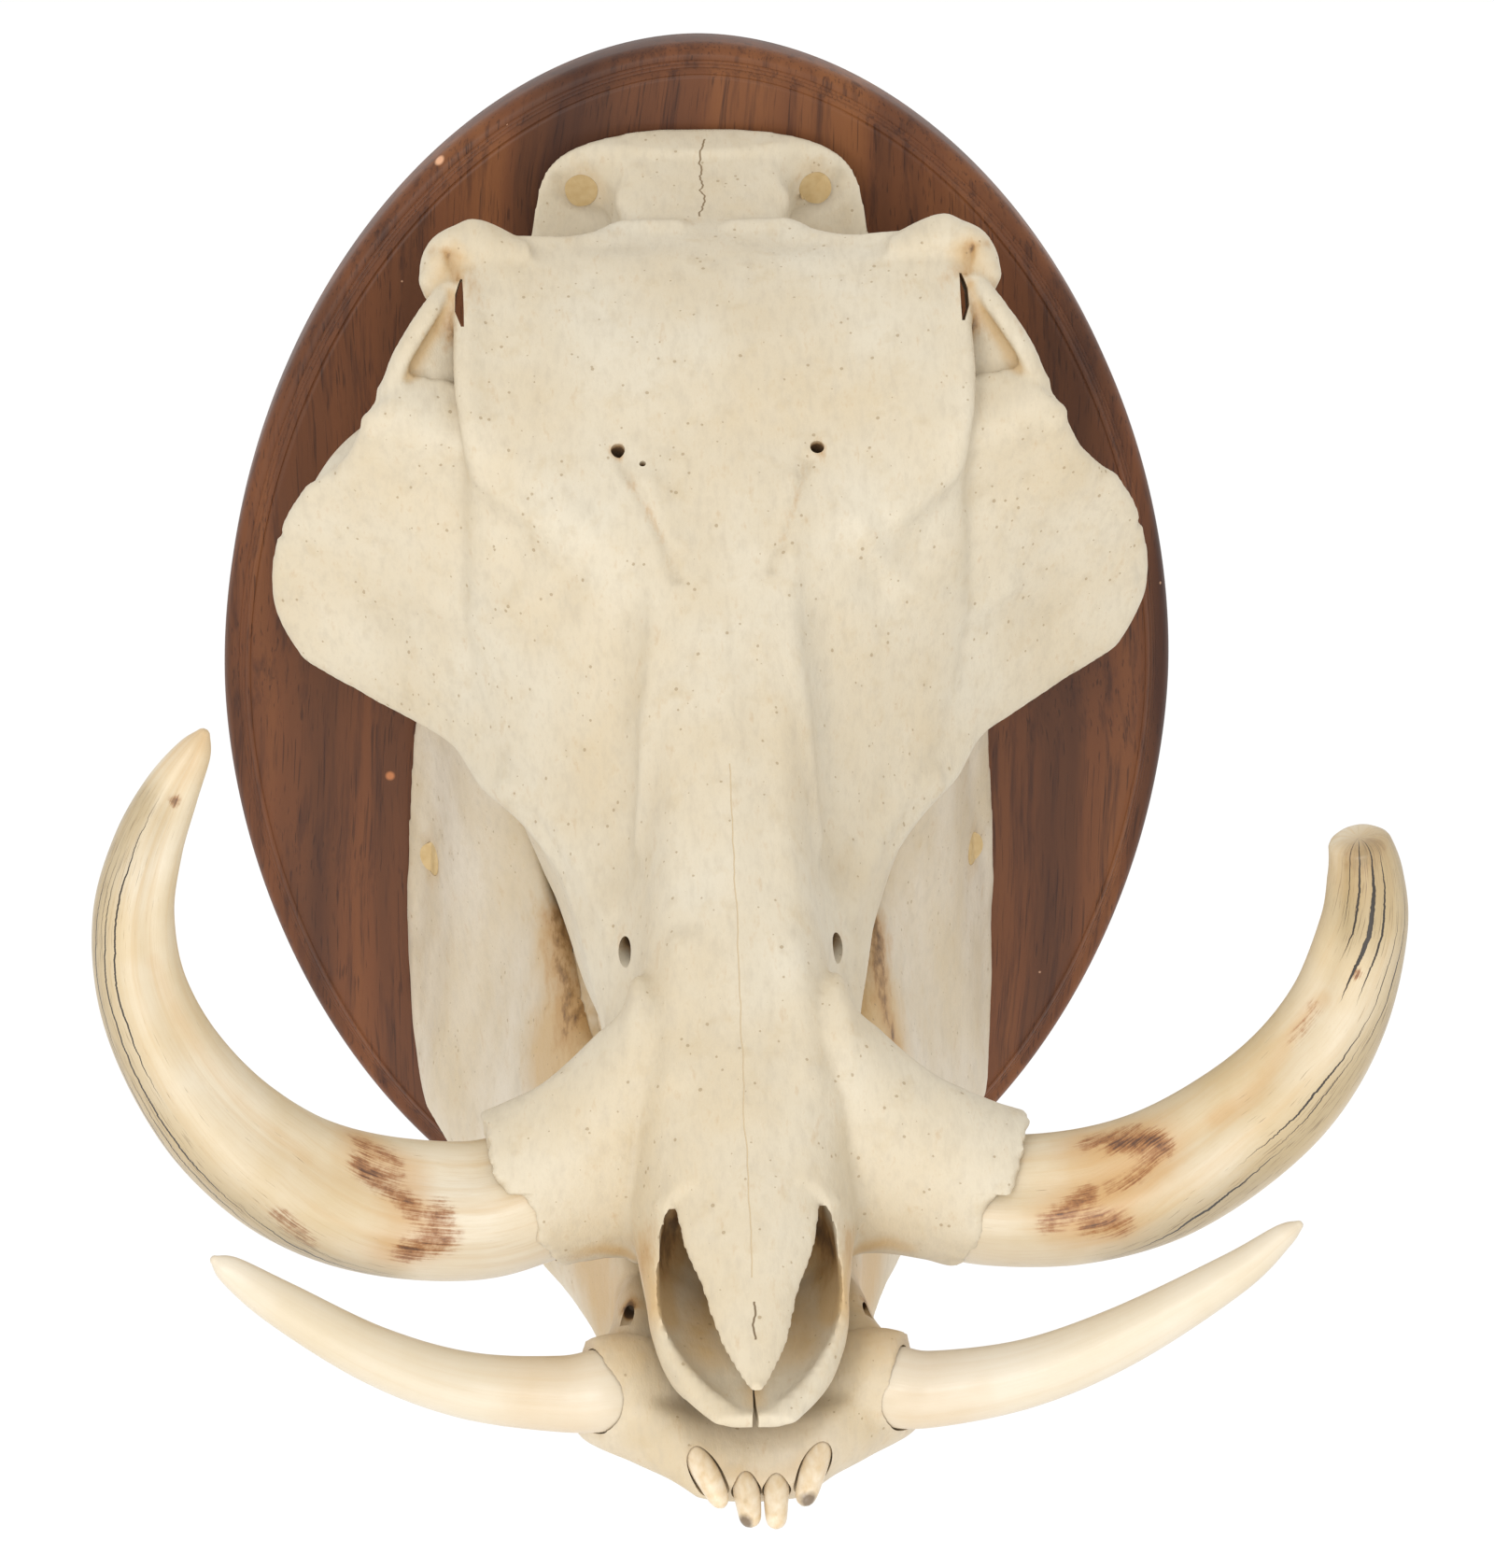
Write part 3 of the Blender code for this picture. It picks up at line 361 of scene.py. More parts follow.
# Splits: start and end along the tusk, place beside the main one, and width.
LEFT_SPLITS = [
    (0.45, 1.05, 0.0, 0.0035), (0.85, 2.0, 0.012, 0.004), (1.25, 2.15, -0.035, 0.0045),
    (0.7, 1.5, 0.045, 0.003), (1.3, 2.0, 0.07, 0.0045), (1.6, 2.0, 0.035, 0.004), (0.5, 0.95, -0.03, 0.002),
    (0.9, 1.6, 0.085, 0.004),
]
RIGHT_SPLITS = [
    (0.55, 1.15, 0.0, 0.005), (1.0, 1.5, 0.02, 0.0035), (1.3, 1.9, 0.0, 0.004), (1.35, 1.85, 0.05, 0.0035),
    (1.5, 1.98, 0.17, 0.015), (1.6, 2.02, 0.23, 0.011), (1.5, 1.96, 0.12, 0.009), (1.68, 2.05, 0.28, 0.008),
    (0.45, 0.9, -0.04, 0.003), (0.95, 1.6, 0.05, 0.004),
]
# Ends of the tusks: how far past the last ring, and how wide beside it.
POINTED_TIP = [(0.5, 0.8), (0.9, 0.45)]
BROKEN_TIP = [(0.8, 0.94), (1.6, 0.80), (2.0, 0.55), (1.7, 0.25)]

# Incisors narrow over their last stretch, down to this share of their width.
INCISOR_TIP_START = 0.88
INCISOR_TIP_LEAST = 0.25

# Cheek teeth: pillars along each one, how deep they part, how square its outline is, and how bumpy its top.
MOLAR_PILLARS = 7
MOLAR_PILLAR_DEPTH = 0.07
MOLAR_SQUARENESS = 0.45
MOLAR_BUMPS = 0.03

# Marks on the tusks and teeth: path of (x, s, d) places, width, strength, channel, and sides.
UPPER_LEFT_MARKS = [
    ([(-95, 301, 60), (-92, 306, 59), (-84, 310, 57), (-83, 317, 51), (-78, 321, 44), (-87, 323, 42)],
     7.5, 0.9, TAN, MIDDLE),
    ([(-95.3, 303.2, 60.6), (-87.3, 306.2, 57.6)], 3.2, 0.7, BROWN, MIDDLE),
    ([(-95, 310, 59.5), (-91.9, 312, 58), (-86, 311, 57)], 3.0, 1.05, BROWN, MIDDLE),
    ([(-91.9, 313.4, 57.7), (-84, 316, 52), (-82, 318, 49)], 2.6, 0.85, BROWN, MIDDLE),
    ([(-76, 318, 49), (-79, 320, 44), (-84, 321.5, 41.5), (-74.9, 320.5, 43.7)], 4.0, 0.85, BROWN, MIDDLE),
    ([(-107.6, 315.1, 67.1), (-125, 312.5, 87.5), (-135.3, 310.1, 107.4), (-142.1, 307.9, 127.1)],
     2.4, 0.35, TAN, MIDDLE),
    ([(-114.8, 322.6, 55.4), (-108.3, 323.2, 45.9)], 3.2, 0.55, BROWN, MIDDLE),
    ([(-92, 318, 31), (-108, 320, 38), (-124, 320, 54), (-139, 316, 75), (-151, 309, 101), (-155, 303, 124),
     (-152, 297, 145), (-144, 292, 162)], 9.0, 1.0, DRY_AND_HOLLOW_SHADE, MIDDLE),
    ([(-135.6, 293.7, 165.5)], 1.4, 1.3, BROWN, MIDDLE),
    ([(-129, 282, 176), (-133, 286, 170)], 6.0, 0.4, TAN, MIDDLE),
]
UPPER_RIGHT_MARKS = [
    ([(86, 305, 56), (97, 309, 61), (102, 314, 62), (92, 318, 55), (80, 320, 46), (92, 322, 46)],
     8.0, 0.9, TAN, MIDDLE),
    ([(86.2, 305, 56.4), (97.3, 306, 62)], 2.8, 0.7, BROWN, MIDDLE),
    ([(93, 308.5, 60), (101, 311, 63), (104, 313, 63)], 3.0, 1.05, BROWN, MIDDLE),
    ([(103, 314, 62), (97, 317, 57), (90, 318, 54)], 2.2, 0.75, BROWN, MIDDLE),
    ([(85.5, 318, 51), (79, 320, 46.5), (76, 320, 44)], 3.0, 0.8, BROWN, MIDDLE),
    ([(86, 321, 45), (94, 322, 46)], 3.4, 1.0, BROWN, MIDDLE),
    ([(115.8, 314.6, 73.1), (124.4, 313.8, 81.7), (136.1, 308.4, 101.6), (139.9, 309.3, 108.7)],
     2.6, 0.6, TAN, MIDDLE),
    ([(133, 311, 96), (138, 309, 105)], 2.4, 0.6, BROWN, MIDDLE),
    ([(94, 319, 33), (112, 321, 46), (129, 319, 64), (146, 314, 86), (157, 306, 106), (160, 300, 126),
     (156, 294, 144)], 8.0, 1.0, DRY_AND_HOLLOW_SHADE, MIDDLE),
    ([(150, 300, 150), (148, 304, 132)], 12.0, 1.0, DRY_AND_HOLLOW_SHADE, MIDDLE),
    ([(148, 298, 150), (146, 302, 140)], 7.0, 0.9, TAN, MIDDLE),
    ([(147, 301, 146), (151, 298, 151)], 4.0, 1.0, BROWN, MIDDLE),
    ([(148.1, 309.7, 117.6)], 1.4, 1.3, BROWN, MIDDLE),
]
LOWER_MARKS = [
    ([(131, 343, 63)], 4.0, 0.35, TAN, BOTH),
    # Darker tan round the roots near the sleeves: partly stain, partly painted shade.
    ([(42, 351, 17), (54, 351, 18)], 12.0, 0.55, TAN, BOTH),
]
INCISOR_MARKS = [
    ([(-2.8, 388, 11)], 3.0, 1.0, BROWN, MIDDLE),
    ([(-3.5, 384, 14)], 4.0, 0.35, BROWN, MIDDLE),
    ([(13, 384, 14.5)], 2.6, 1.0, BROWN, MIDDLE),
    ([(-11, 384, 14)], 2.4, 0.45, BROWN, MIDDLE),
]

# Photo: its size and the place in it where the camera aims, in pixels. The scale is in pixels to a unit
# of height or width at a unit's distance.
PICTURE_WIDTH = 1600
PICTURE_HEIGHT = 1679
AIM_PIXEL = (748.0, 719.5)
PIXELS_PER_UNIT = 5430.0
# Camera, in metres and degrees: lifted above the skull, turned a little to its right side.
CAMERA_DISTANCE = 1.5
CAMERA_LIFT = math.radians(20.0)
CAMERA_TURN = math.radians(-2.9)
CAMERA_AIM = (0.0, -0.010, 0.0)
SENSOR_WIDTH = 36.0
LIGHT_AIM = (0.0, -0.1, 0.0)
FLOOR_HEIGHT = -0.75
FLOOR_SIZE = 8.0

# Bone forms. Each stroke: path of (x, s, d) places, width, rise, and the sides that it is on.
CRANIUM_STROKES = [
    # Grooves for the vessels that run down the forehead from its two holes.
    ([(-26.5, 129, 142), (-25, 134, 140.5), (-20, 144.6, 136), (-15.3, 154.7, 131.5), (-11.9, 164.7, 127)],
     1.6, -1.3, MIDDLE),
    ([(24, 133, 141), (19.4, 146.5, 135.3), (16.1, 155, 131.2), (13.3, 162.3, 127.6)], 1.6, -1.3, MIDDLE),
    ([(22, 128, 142), (16, 142, 137), (10, 156, 131)], 3.0, 0.5, BOTH),
    # Rim of the brow, and the fall from the forehead to the face.
    ([(67, 82, 165), (66, 94, 161), (66.5, 111, 154.5), (66, 123, 148), (63, 134, 137), (54, 142, 134),
     (48, 146, 132)], 3.6, 2.1, BOTH),
    ([(60, 84, 163), (59, 100, 159), (59, 116, 153)], 7.0, -1.4, BOTH),
    ([(59, 137, 130), (50, 147, 122), (42, 154, 118)], 8.0, -2.9, BOTH),
    # Hollows on each side of the crest, with a curled edge on their inner side.
    ([(36, 20, 142), (40, 28, 140)], 11.0, -4.2, BOTH),
    ([(27, 20, 137), (29, 16.8, 138.4), (32.8, 14.8, 140.3), (38, 13, 142.3), (40, 10.2, 146.7)],
     2.0, -1.3, BOTH),
    ([(22, 8, 154), (20, 16, 153), (24, 26, 151), (32, 36, 152)], 3.0, 1.0, BOTH),
    # Ridge across the back of the brow, up to its hook.
    ([(8, 47, 156), (26, 46, 157), (40, 52, 160), (54, 60, 165), (64, 66, 170)], 3.5, 1.9, BOTH),
    ([(20, 58, 160), (40, 62, 162), (54, 68, 166)], 7.0, -1.3, BOTH),
    # Crease between the hook and the lobe under it.
    ([(68, 82, 166), (70, 76, 169), (74, 74, 168)], 2.2, -2.4, BOTH),
    # Outer ridge of the cheekbone's bar, and the groove inside it.
    ([(77, 81, 163.5), (80, 90, 161), (85, 99, 154), (89, 107, 147)], 2.6, 1.5, BOTH),
    ([(70.5, 86.5, 163), (76, 97, 158), (82.5, 107, 150.5)], 2.0, -2.0, BOTH),
    # Long hollows down the sides of the face, with a keel between them and the nose.
    ([(27, 170, 116), (30, 190, 95), (30, 215, 74)], 9.0, -2.6, BOTH),
    ([(19.7, 139.6, 138.4), (17.8, 159, 128.7), (18.5, 181.2, 115.4), (21.5, 200.3, 99.8),
     (24.3, 215.5, 81)], 4.0, 1.6, BOTH),
    ([(8, 190, 116), (9, 215, 105), (10, 245, 93)], 6.0, -1.0, BOTH),
    ([(0, 190, 116), (0, 230, 101), (0, 270, 86), (0, 310, 73)], 5.0, 0.8, MIDDLE),
    ([(13, 262, 87), (15, 280, 79), (16, 296, 74)], 4.5, 1.4, BOTH),
    # Cheekbone: rolled root above the tooth row, and the dished wing.
    ([(56.7, 175, 66), (48, 184.6, 67), (41, 197.5, 65.4), (36, 209.5, 62.8), (31.7, 223, 61.6)],
     4.0, 2.1, BOTH),
    ([(79.6, 133.8, 97), (67, 142, 97), (52, 153.2, 112), (42, 153, 124.5), (37, 148.4, 133)],
     4.0, 1.3, BOTH),
    ([(92, 124, 108), (95, 122, 94), (92, 124, 84)], 14.0, -2.6, BOTH),
    ([(109, 110, 114), (117, 108, 97), (118, 110, 80), (110, 116, 66)], 4.5, 1.4, BOTH),
    ([(117.5, 108, 99), (112, 110, 99)], 1.3, -1.2, BOTH),
    # Knobs and pits of the tear bone under the eye.
    ([(92, 115.7, 143), (91, 118.8, 141)], 2.6, 1.5, BOTH),
    ([(83, 106, 148), (79, 105, 148)], 2.0, 1.2, BOTH),
    ([(73, 106, 147), (70, 108, 146)], 2.4, 1.4, BOTH),
    ([(86, 112, 145), (88, 116, 140)], 2.0, -1.2, BOTH),
    ([(76, 112, 143), (72, 115, 141)], 2.6, -1.0, BOTH),
    ([(80, 119, 137), (74, 122, 136)], 3.0, 0.8, BOTH),
    ([(83, 124, 128), (72, 130, 126)], 7.0, -1.4, BOTH),
    # Swell of the snout over the tusk roots, and its fluted sides.
    ([(34, 276, 66), (44, 286, 62), (52, 293, 58)], 5.0, 1.3, BOTH),
    ([(29, 255, 64), (33, 264, 64)], 7.0, -2.2, BOTH),
]
# Marks on the bones: path of (x, s, d) places, width, strength, channel, and sides.
CRANIUM_MARKS = [
    ([(33, 13, 146)], 7.5, 0.5, TAN, BOTH),
    # Brown inside the nose, round its walls and in the holes of the face.
    ([(13, 292, 36), (15, 306, 36), (18, 320, 38), (19.5, 332, 43), (20, 343, 43)], 8.0, 1.5, TAN, BOTH),
    ([(14, 292, 38), (16, 306, 38), (18.5, 320, 40), (20, 330, 46)], 6.5, 1.2, BROWN, BOTH),
    ([(4, 300, 31), (6, 322, 30), (8, 340, 34)], 7.0, 1.1, TAN, BOTH),
    ([(8, 330, 32), (12, 344, 36), (11, 354, 38)], 8.0, 0.8, TAN, BOTH),
    ([(-26.5, 129, 142), (-25, 134, 140.5), (-20, 144.6, 136), (-15.3, 154.7, 131.5)],
     1.1, 0.45, BROWN, MIDDLE),
    ([(24, 133, 141), (19.4, 146.5, 135.3), (16.1, 155, 131.2)], 1.1, 0.45, BROWN, MIDDLE),
    ([(18, 346, 40), (12, 354, 37)], 4.5, 0.6, TAN, BOTH),
    ([(68, 82, 165.5), (70, 76, 168), (74, 74, 167.5)], 1.8, 1.0, BROWN, BOTH),
    # Dark brown painted shade down inside the slit beside the brow.
    ([(67.8, 82, 158), (67.8, 90, 155)], 5.0, 3.0, BROWN, BOTH),
    ([(42, 315, 33), (36, 315.5, 34.5), (28, 315, 30)], 3.0, 1.0, TAN, BOTH),
    ([(70, 76, 166), (72, 82, 160)], 5.0, 1.0, TAN, BOTH),
    ([(70.5, 86.5, 162), (76, 97, 157), (82.5, 107, 149.5)], 2.4, 1.3, TAN, BOTH),
    ([(62, 292, 34), (56, 300, 26)], 5.0, 0.7, TAN, BOTH),
    ([(48, 308, 28), (36, 312, 26)], 4.0, 0.8, TAN, BOTH),
    ([(-66.5, 298, 60.5)], 3.2, 1.3, BROWN, MIDDLE),
    ([(105, 112, 62), (116, 110, 70)], 6.0, 0.35, TAN, BOTH),
    ([(0, 372, 38), (0, 364, 38)], 3.0, 0.7, TAN, MIDDLE),
]
MANDIBLE_STROKES = [
    ([(74, 84, 20), (74, 100, -40), (70, 118, -80)], 14.0, -0.9, BOTH),
    ([(84, 84, -56), (85, 96, -80), (83, 113, -92), (79, 132, -92)], 5.0, 1.0, BOTH),
    ([(47, 150, -40), (44, 190, -30)], 12.0, 1.0, BOTH),
    ([(29, 306, 9), (22, 318, 8)], 5.0, -1.2, BOTH),
    ([(0, 300, -3), (0, 330, 9)], 14.0, -1.0, MIDDLE),
    ([(34, 342, 24), (30, 350, 23), (28, 358, 20)], 3.0, 0.7, BOTH),
    ([(24, 358, 17), (30, 352, 17)], 4.0, -0.9, BOTH),
]
MANDIBLE_MARKS = [
    ([(43.5, 160, 5), (42.4, 168, 1.3), (41.5, 184, 0.5), (40.3, 200, -0.7)], 8.0, 0.85, BROWN, LEFT),
    ([(46, 164, 0), (46, 190, -6)], 10.0, 0.6, TAN, LEFT),
    ([(44, 164, 2), (44.7, 179, -1.5), (45.7, 190, -5), (47.4, 194, -10.5)], 6.0, 0.95, BROWN, RIGHT),
    # Tan over the body of the jaw under the snout: stain, and painted shade where the snout overhangs it.
    ([(44, 200, -10), (43, 240, -16), (40, 280, -12)], 20.0, 1.3, TAN, BOTH),
    ([(36, 330, 14), (33, 345, 24)], 9.0, 0.7, TAN, BOTH),
    ([(79, 92, -35)], 8.5, 0.6, TAN, BOTH),
    ([(34, 345, 18), (28, 357, 16)], 5.0, 0.4, TAN, BOTH),
    ([(16, 371, 17), (6, 377, 15), (-2, 377, 15), (-14, 371, 17)], 3.5, 0.5, TAN, MIDDLE),
    ([(34, 300, -8), (30, 318, 4)], 16.0, 1.0, TAN, BOTH),
]

# Wavy broken rim of each tusk sleeve: height on the face of the bone, and how far it reaches. The waves
# fade out over RIM_REACH on each side of the rim. Only bone past RIM_AREA, outwards and forwards, moves.
RIM_WAVES = {
    -1: [(-200, 0), (-184.3, 1.0), (-178, 2.2), (-172, -1.4), (-167.3, -1.0), (-165.6, 2.2), (-160, 3.2),
         (-151, -1), (-140, 0)],
    1: [(-200, 0), (-184.4, 2.4), (-180.5, 3.2), (-173.7, 0), (-168.9, 0.8), (-168, 4.0), (-163, 3.0),
        (-157.5, 1.2), (-150, -0.6), (-140, 0)],
}
RIM_REACH = 12.0
RIM_AREA = (36, 262)
RIM_CRUMBLE = 0.9


# Places: (x, s, d) on the skull in millimetres to metres in the world, and back.
def to_world(points):
    points = np.asarray(points, float)
    x, s, d = points[..., 0], points[..., 1], points[..., 2]
    cos, sin = math.cos(SKULL_PITCH), math.sin(SKULL_PITCH)
    y = SKULL_ZERO_Y - s * cos - d * sin
    z = SKULL_ZERO_Z - s * sin + d * cos
    return np.stack([x, y, z], -1) * MM


def to_skull(points):
    x, y, z = np.asarray(points, float).T / MM
    cos, sin = math.cos(SKULL_PITCH), math.sin(SKULL_PITCH)
    y = y - SKULL_ZERO_Y
    z = z - SKULL_ZERO_Z
    return np.stack([x, -y * cos - z * sin, -y * sin + z * cos], -1)


# The same places on the other side of the skull.
def mirrored(points):
    made = np.array(points, float)
    made[..., 0] *= -1.0
    return made


# Smooth curve through the given rows, with count rows spaced evenly by their number.
def through(rows, count):
    rows = np.asarray(rows, float)
    last = len(rows) - 1
    made = []
    for place in np.linspace(0.0, last, count):
        k = min(int(place), last - 1)
        t = place - k
        a, b, c, d = (rows[min(max(k + j, 0), last)] for j in (-1, 0, 1, 2))
        made.append(b + 0.5 * t * (c - a + t * (2 * a - 5 * b + 4 * c - d + t * (3 * (b - c) + d - a))))
    return np.array(made)


# Closed solid through a row of rings, each with the same number of points.
def loft(bm, rings):
    rows = [[bm.verts.new(p) for p in ring] for ring in rings]
    size = len(rows[0])
    for near, far in zip(rows, rows[1:]):
        for k in range(size):
            bm.faces.new((near[k], near[(k + 1) % size], far[(k + 1) % size], far[k]))
    for ring, order in ((rows[0], -1), (rows[-1], 1)):
        middle = bm.verts.new(np.mean([v.co for v in ring], axis=0))
        for k in range(size):
            bm.faces.new((ring[k], ring[(k + 1) % size], middle)[::order])
    return rows


# Solid with sections across the skull: half outlines (x, d) from the top middle to the bottom middle.
def section_solid(bm, sections, rings, half_points):
    rows = []
    for s, outline in sections:
        half = through(outline, half_points)
        rows.append([(x, s, d) for x, d in half])
    rows = through(rows, rings)
    loft(bm, [to_world(np.concatenate([row, mirrored(row[-2:0:-1])])) for row in rows])


# Rings of a round bar along a path of (x, s, d, radius) points.
def bar_rings(path, rings, sides):
    rows = through(path, rings)
    centres, radii = rows[:, :3], rows[:, 3]
    along = np.gradient(centres, axis=0)
    along /= np.linalg.norm(along, axis=1)[:, None]
    side = np.cross(along[0], RING_START)
    made = []
    for centre, radius, forward in zip(centres, radii, along):
        side = side - forward * side.dot(forward)
        side /= np.linalg.norm(side)
        up = np.cross(forward, side)
        turns = [2 * math.pi * k / sides for k in range(sides)]
        ring = [centre + radius * (side * math.cos(a) + up * math.sin(a)) for a in turns]
        made.append(to_world(ring))
    return made


def bar(bm, path, rings, sides):
    loft(bm, bar_rings(path, rings, sides))


# Curved plate: each row runs from inside the skull out to the free rim.
def plate(bm, rows, thickness, rings, across):
    rows = through([through(row, across) for row in rows], rings)
    along = np.gradient(rows, axis=0)
    out = np.gradient(rows, axis=1)
    normal = np.cross(along, out)
    normal /= np.linalg.norm(normal, axis=2)[:, :, None]
    reach = np.linspace(0.0, 1.0, across)
    half = 0.5 * thickness * np.sqrt(np.clip(1.0 - reach ** RIM_POWER, RIM_LEAST, 1.0))
    upper = rows + normal * half[None, :, None]
    lower = rows - normal * half[None, :, None]
    loft(bm, [to_world(np.concatenate([a, b[::-1]])) for a, b in zip(upper, lower)])


def ball(bm, centre, radii):
    made = bmesh.ops.create_icosphere(bm, subdivisions=4, radius=1.0)["verts"]
    for vert in made:
        vert.co = to_world(np.asarray(centre) + np.array(vert.co) * np.asarray(radii))


# Makes a shape on the right side, and its mirror image on the left.
def both_sides(shape, bm, points, **settings):
    shape(bm, points, **settings)
    shape(bm, mirrored(points), **settings)


# Place or direction given for the right side, on either side.
def on_side(place, side):
    return (side * place[0], *place[1:])


def new_object(name, bm, finish=None):
    bm.normal_update()
    bmesh.ops.recalc_face_normals(bm, faces=bm.faces[:])
    mesh = bpy.data.meshes.new(name)
    bm.to_mesh(mesh)
    bm.free()
    made_object = bpy.data.objects.new(name, mesh)
    bpy.context.scene.collection.objects.link(made_object)
    if finish:
        mesh.materials.append(finish)
    return made_object


# Applies an object's modifiers to its mesh.
def settle(item):
    graph = bpy.context.evaluated_depsgraph_get()
    graph.update()
    mesh = bpy.data.meshes.new_from_object(item.evaluated_get(graph))
    old = item.data
    item.modifiers.clear()
    item.data = mesh
    bpy.data.meshes.remove(old)


def corners(item):
    places = np.array([vert.co for vert in item.data.vertices])
    return places.min(0), places.max(0)


# Takes tools out of an item, as many in one cut as lie clear of each other.
def cut(item, tools):
    waiting = list(tools)
    while waiting:
        chosen = []
        for tool in waiting:
            low, high = corners(tool)
            clear = [(low > far).any() or (high < near).any() for near, far in map(corners, chosen)]
            if all(clear):
                chosen.append(tool)
        waiting = [tool for tool in waiting if tool not in chosen]
        bm = bmesh.new()
        for tool in chosen:
            bm.from_mesh(tool.data)
            bpy.data.objects.remove(tool, do_unlink=True)
        joined = new_object("tools", bm)
        step = item.modifiers.new("cut", "BOOLEAN")
        step.operation = "DIFFERENCE"
        step.object = joined
        settle(item)
        bpy.data.objects.remove(joined, do_unlink=True)


# Fuses overlapping solids into one bone and smooths it.
def fuse(item):
    step = item.modifiers.new("fuse", "REMESH")
    step.mode = "VOXEL"
    step.voxel_size = BONE_VOXEL * MM
    step = item.modifiers.new("smooth", "SMOOTH")
    step.factor = 0.5
    step.iterations = 4
    settle(item)


# Thins out the faces of a bone on its flat places, down to the given number of triangles.
def thin_out(item, triangles):
    count = sum(len(face.vertices) - 2 for face in item.data.polygons)
    if count > triangles:
        step = item.modifiers.new("simplify", "DECIMATE")
        step.ratio = triangles / count
        step.use_collapse_triangulate = True
        settle(item)


# Cuts away what lies behind the board's front face.
def clear_of_board(item):
    bm = bmesh.new()
    size = 1.0
    bmesh.ops.create_cube(bm, size=size)
    for vert in bm.verts:
        vert.co.y = vert.co.y + size / 2 - (BOARD_THICKNESS + GAP) * MM
    cut(item, [new_object("behind", bm)])


def smooth_shading(item):
    item.data.shade_smooth()
    item.data.set_sharp_from_angle(angle=SHARP_ANGLE)


def places_and_normals(mesh):
    places = np.zeros(len(mesh.vertices) * 3)
    normals = np.zeros(len(mesh.vertices) * 3)
    mesh.vertices.foreach_get("co", places)
    mesh.vertices.foreach_get("normal", normals)
    return places.reshape(-1, 3), normals.reshape(-1, 3)


# One where a point is on a path of (x, s, d) places, falling off to nothing over the width.
def near_path(points, path, width):
    line = through(path, STEPS_PER_POINT * len(path)) if len(path) > 1 else np.asarray(path, float)
    margin = WIDTHS_TO_FADE * width
    low, high = line.min(0) - margin, line.max(0) + margin
    chosen = np.flatnonzero(((points > low) & (points < high)).all(1))
    nearby = points[chosen]
    reach = np.full(len(chosen), np.inf)
    for place in line:
        reach = np.minimum(reach, ((nearby - place) ** 2).sum(1))
    made = np.zeros(len(points))
    made[chosen] = np.exp(-reach / width ** 2)
    return made


# Soft random waves of the given size in millimetres, one value for each point.
def waves(points, size, seed):
    return np.array([noise.noise(Vector(p / size) + Vector((seed, 0, 0))) for p in points])


# Carves soft ridges and grooves into a bone, and roughens it by broad and fine waves.
def carve(item, strokes, roughness):
    mesh = item.data
    places, normals = places_and_normals(mesh)
    points = to_skull(places)
    height = roughness * (waves(points, size=22.0, seed=3.1) + 0.5 * waves(points, size=9.0, seed=7.7))
    for path, width, rise, sides in strokes:
        for side in sides:
            height += rise * near_path(points, np.array(path) * (side, 1, 1), width)
    places += normals * height[:, None] * MM
    mesh.vertices.foreach_set("co", places.ravel())
    mesh.update()


# Paints marks into a mesh's attribute, and adds painted shade in its hollows.
def paint(item, marks):
    mesh = item.data
    places, normals = places_and_normals(mesh)
    points = to_skull(places)
    colours = np.zeros((len(points), 4))
    colours[:, 3] = 1.0
    for path, width, strength, channel, sides in marks:
        for side in sides:
            reach = near_path(points, np.array(path) * (side, 1, 1), width)
            colours[:, channel] = np.maximum(colours[:, channel], strength * reach)
    ends = np.zeros(len(mesh.edges) * 2, int)
    mesh.edges.foreach_get("vertices", ends)
    ends = ends.reshape(-1, 2)
    size = len(points)
    count = np.bincount(ends.ravel(), minlength=size)
    soft = places.copy()
    for _ in range(HOLLOW_ROUNDS):
        total = np.stack([np.bincount(ends[:, 0], soft[ends[:, 1], k], size)
                          + np.bincount(ends[:, 1], soft[ends[:, 0], k], size) for k in range(3)], -1)
        soft = total / np.maximum(count, 1)[:, None]
    # Depth of each hollow, painted into the blue channel as shade.
    hollow_shade = ((soft - places) * normals).sum(1) / MM
    colours[:, DRY_AND_HOLLOW_SHADE] = np.clip(np.maximum(colours[:, DRY_AND_HOLLOW_SHADE], hollow_shade / FULL_HOLLOW), 0.0, 1.0)
    layer = mesh.color_attributes.new(MARKS_AND_SHADE, "FLOAT_COLOR", "POINT")
    layer.data.foreach_set("color", colours.ravel())


# One side plate of the lower jaw, with its wavy lower edge.
def jaw_side(bm, side):
    rings = []
    count, points = 150, 72
    wave_step, squareness, deepest_bow = 0.33, 0.7, 4.0
    for k, (s, top, bottom, top_x, bottom_x, thickness) in enumerate(through(JAW, count)):
        bottom += JAW_WAVE * math.sin(k * wave_step + side) * math.sin(math.pi * min(2 * k / count, 1.0))
        middle, reach = (top + bottom) / 2, (top - bottom) / 2
        ring = []
        for step in range(points):
            turn = 2 * math.pi * step / points
            up = math.copysign(abs(math.sin(turn)) ** squareness, math.sin(turn))
            mix = (up + 1) / 2
            bow = deepest_bow * (1 - up * up)
            x = bottom_x + (top_x - bottom_x) * mix - bow + 0.5 * thickness * math.cos(turn)
            ring.append((side * x, s, middle + reach * up))
        rings.append(to_world(ring))
    loft(bm, rings)


def cutter(name, rings):
    bm = bmesh.new()
    loft(bm, rings)
    return new_object(name, bm)


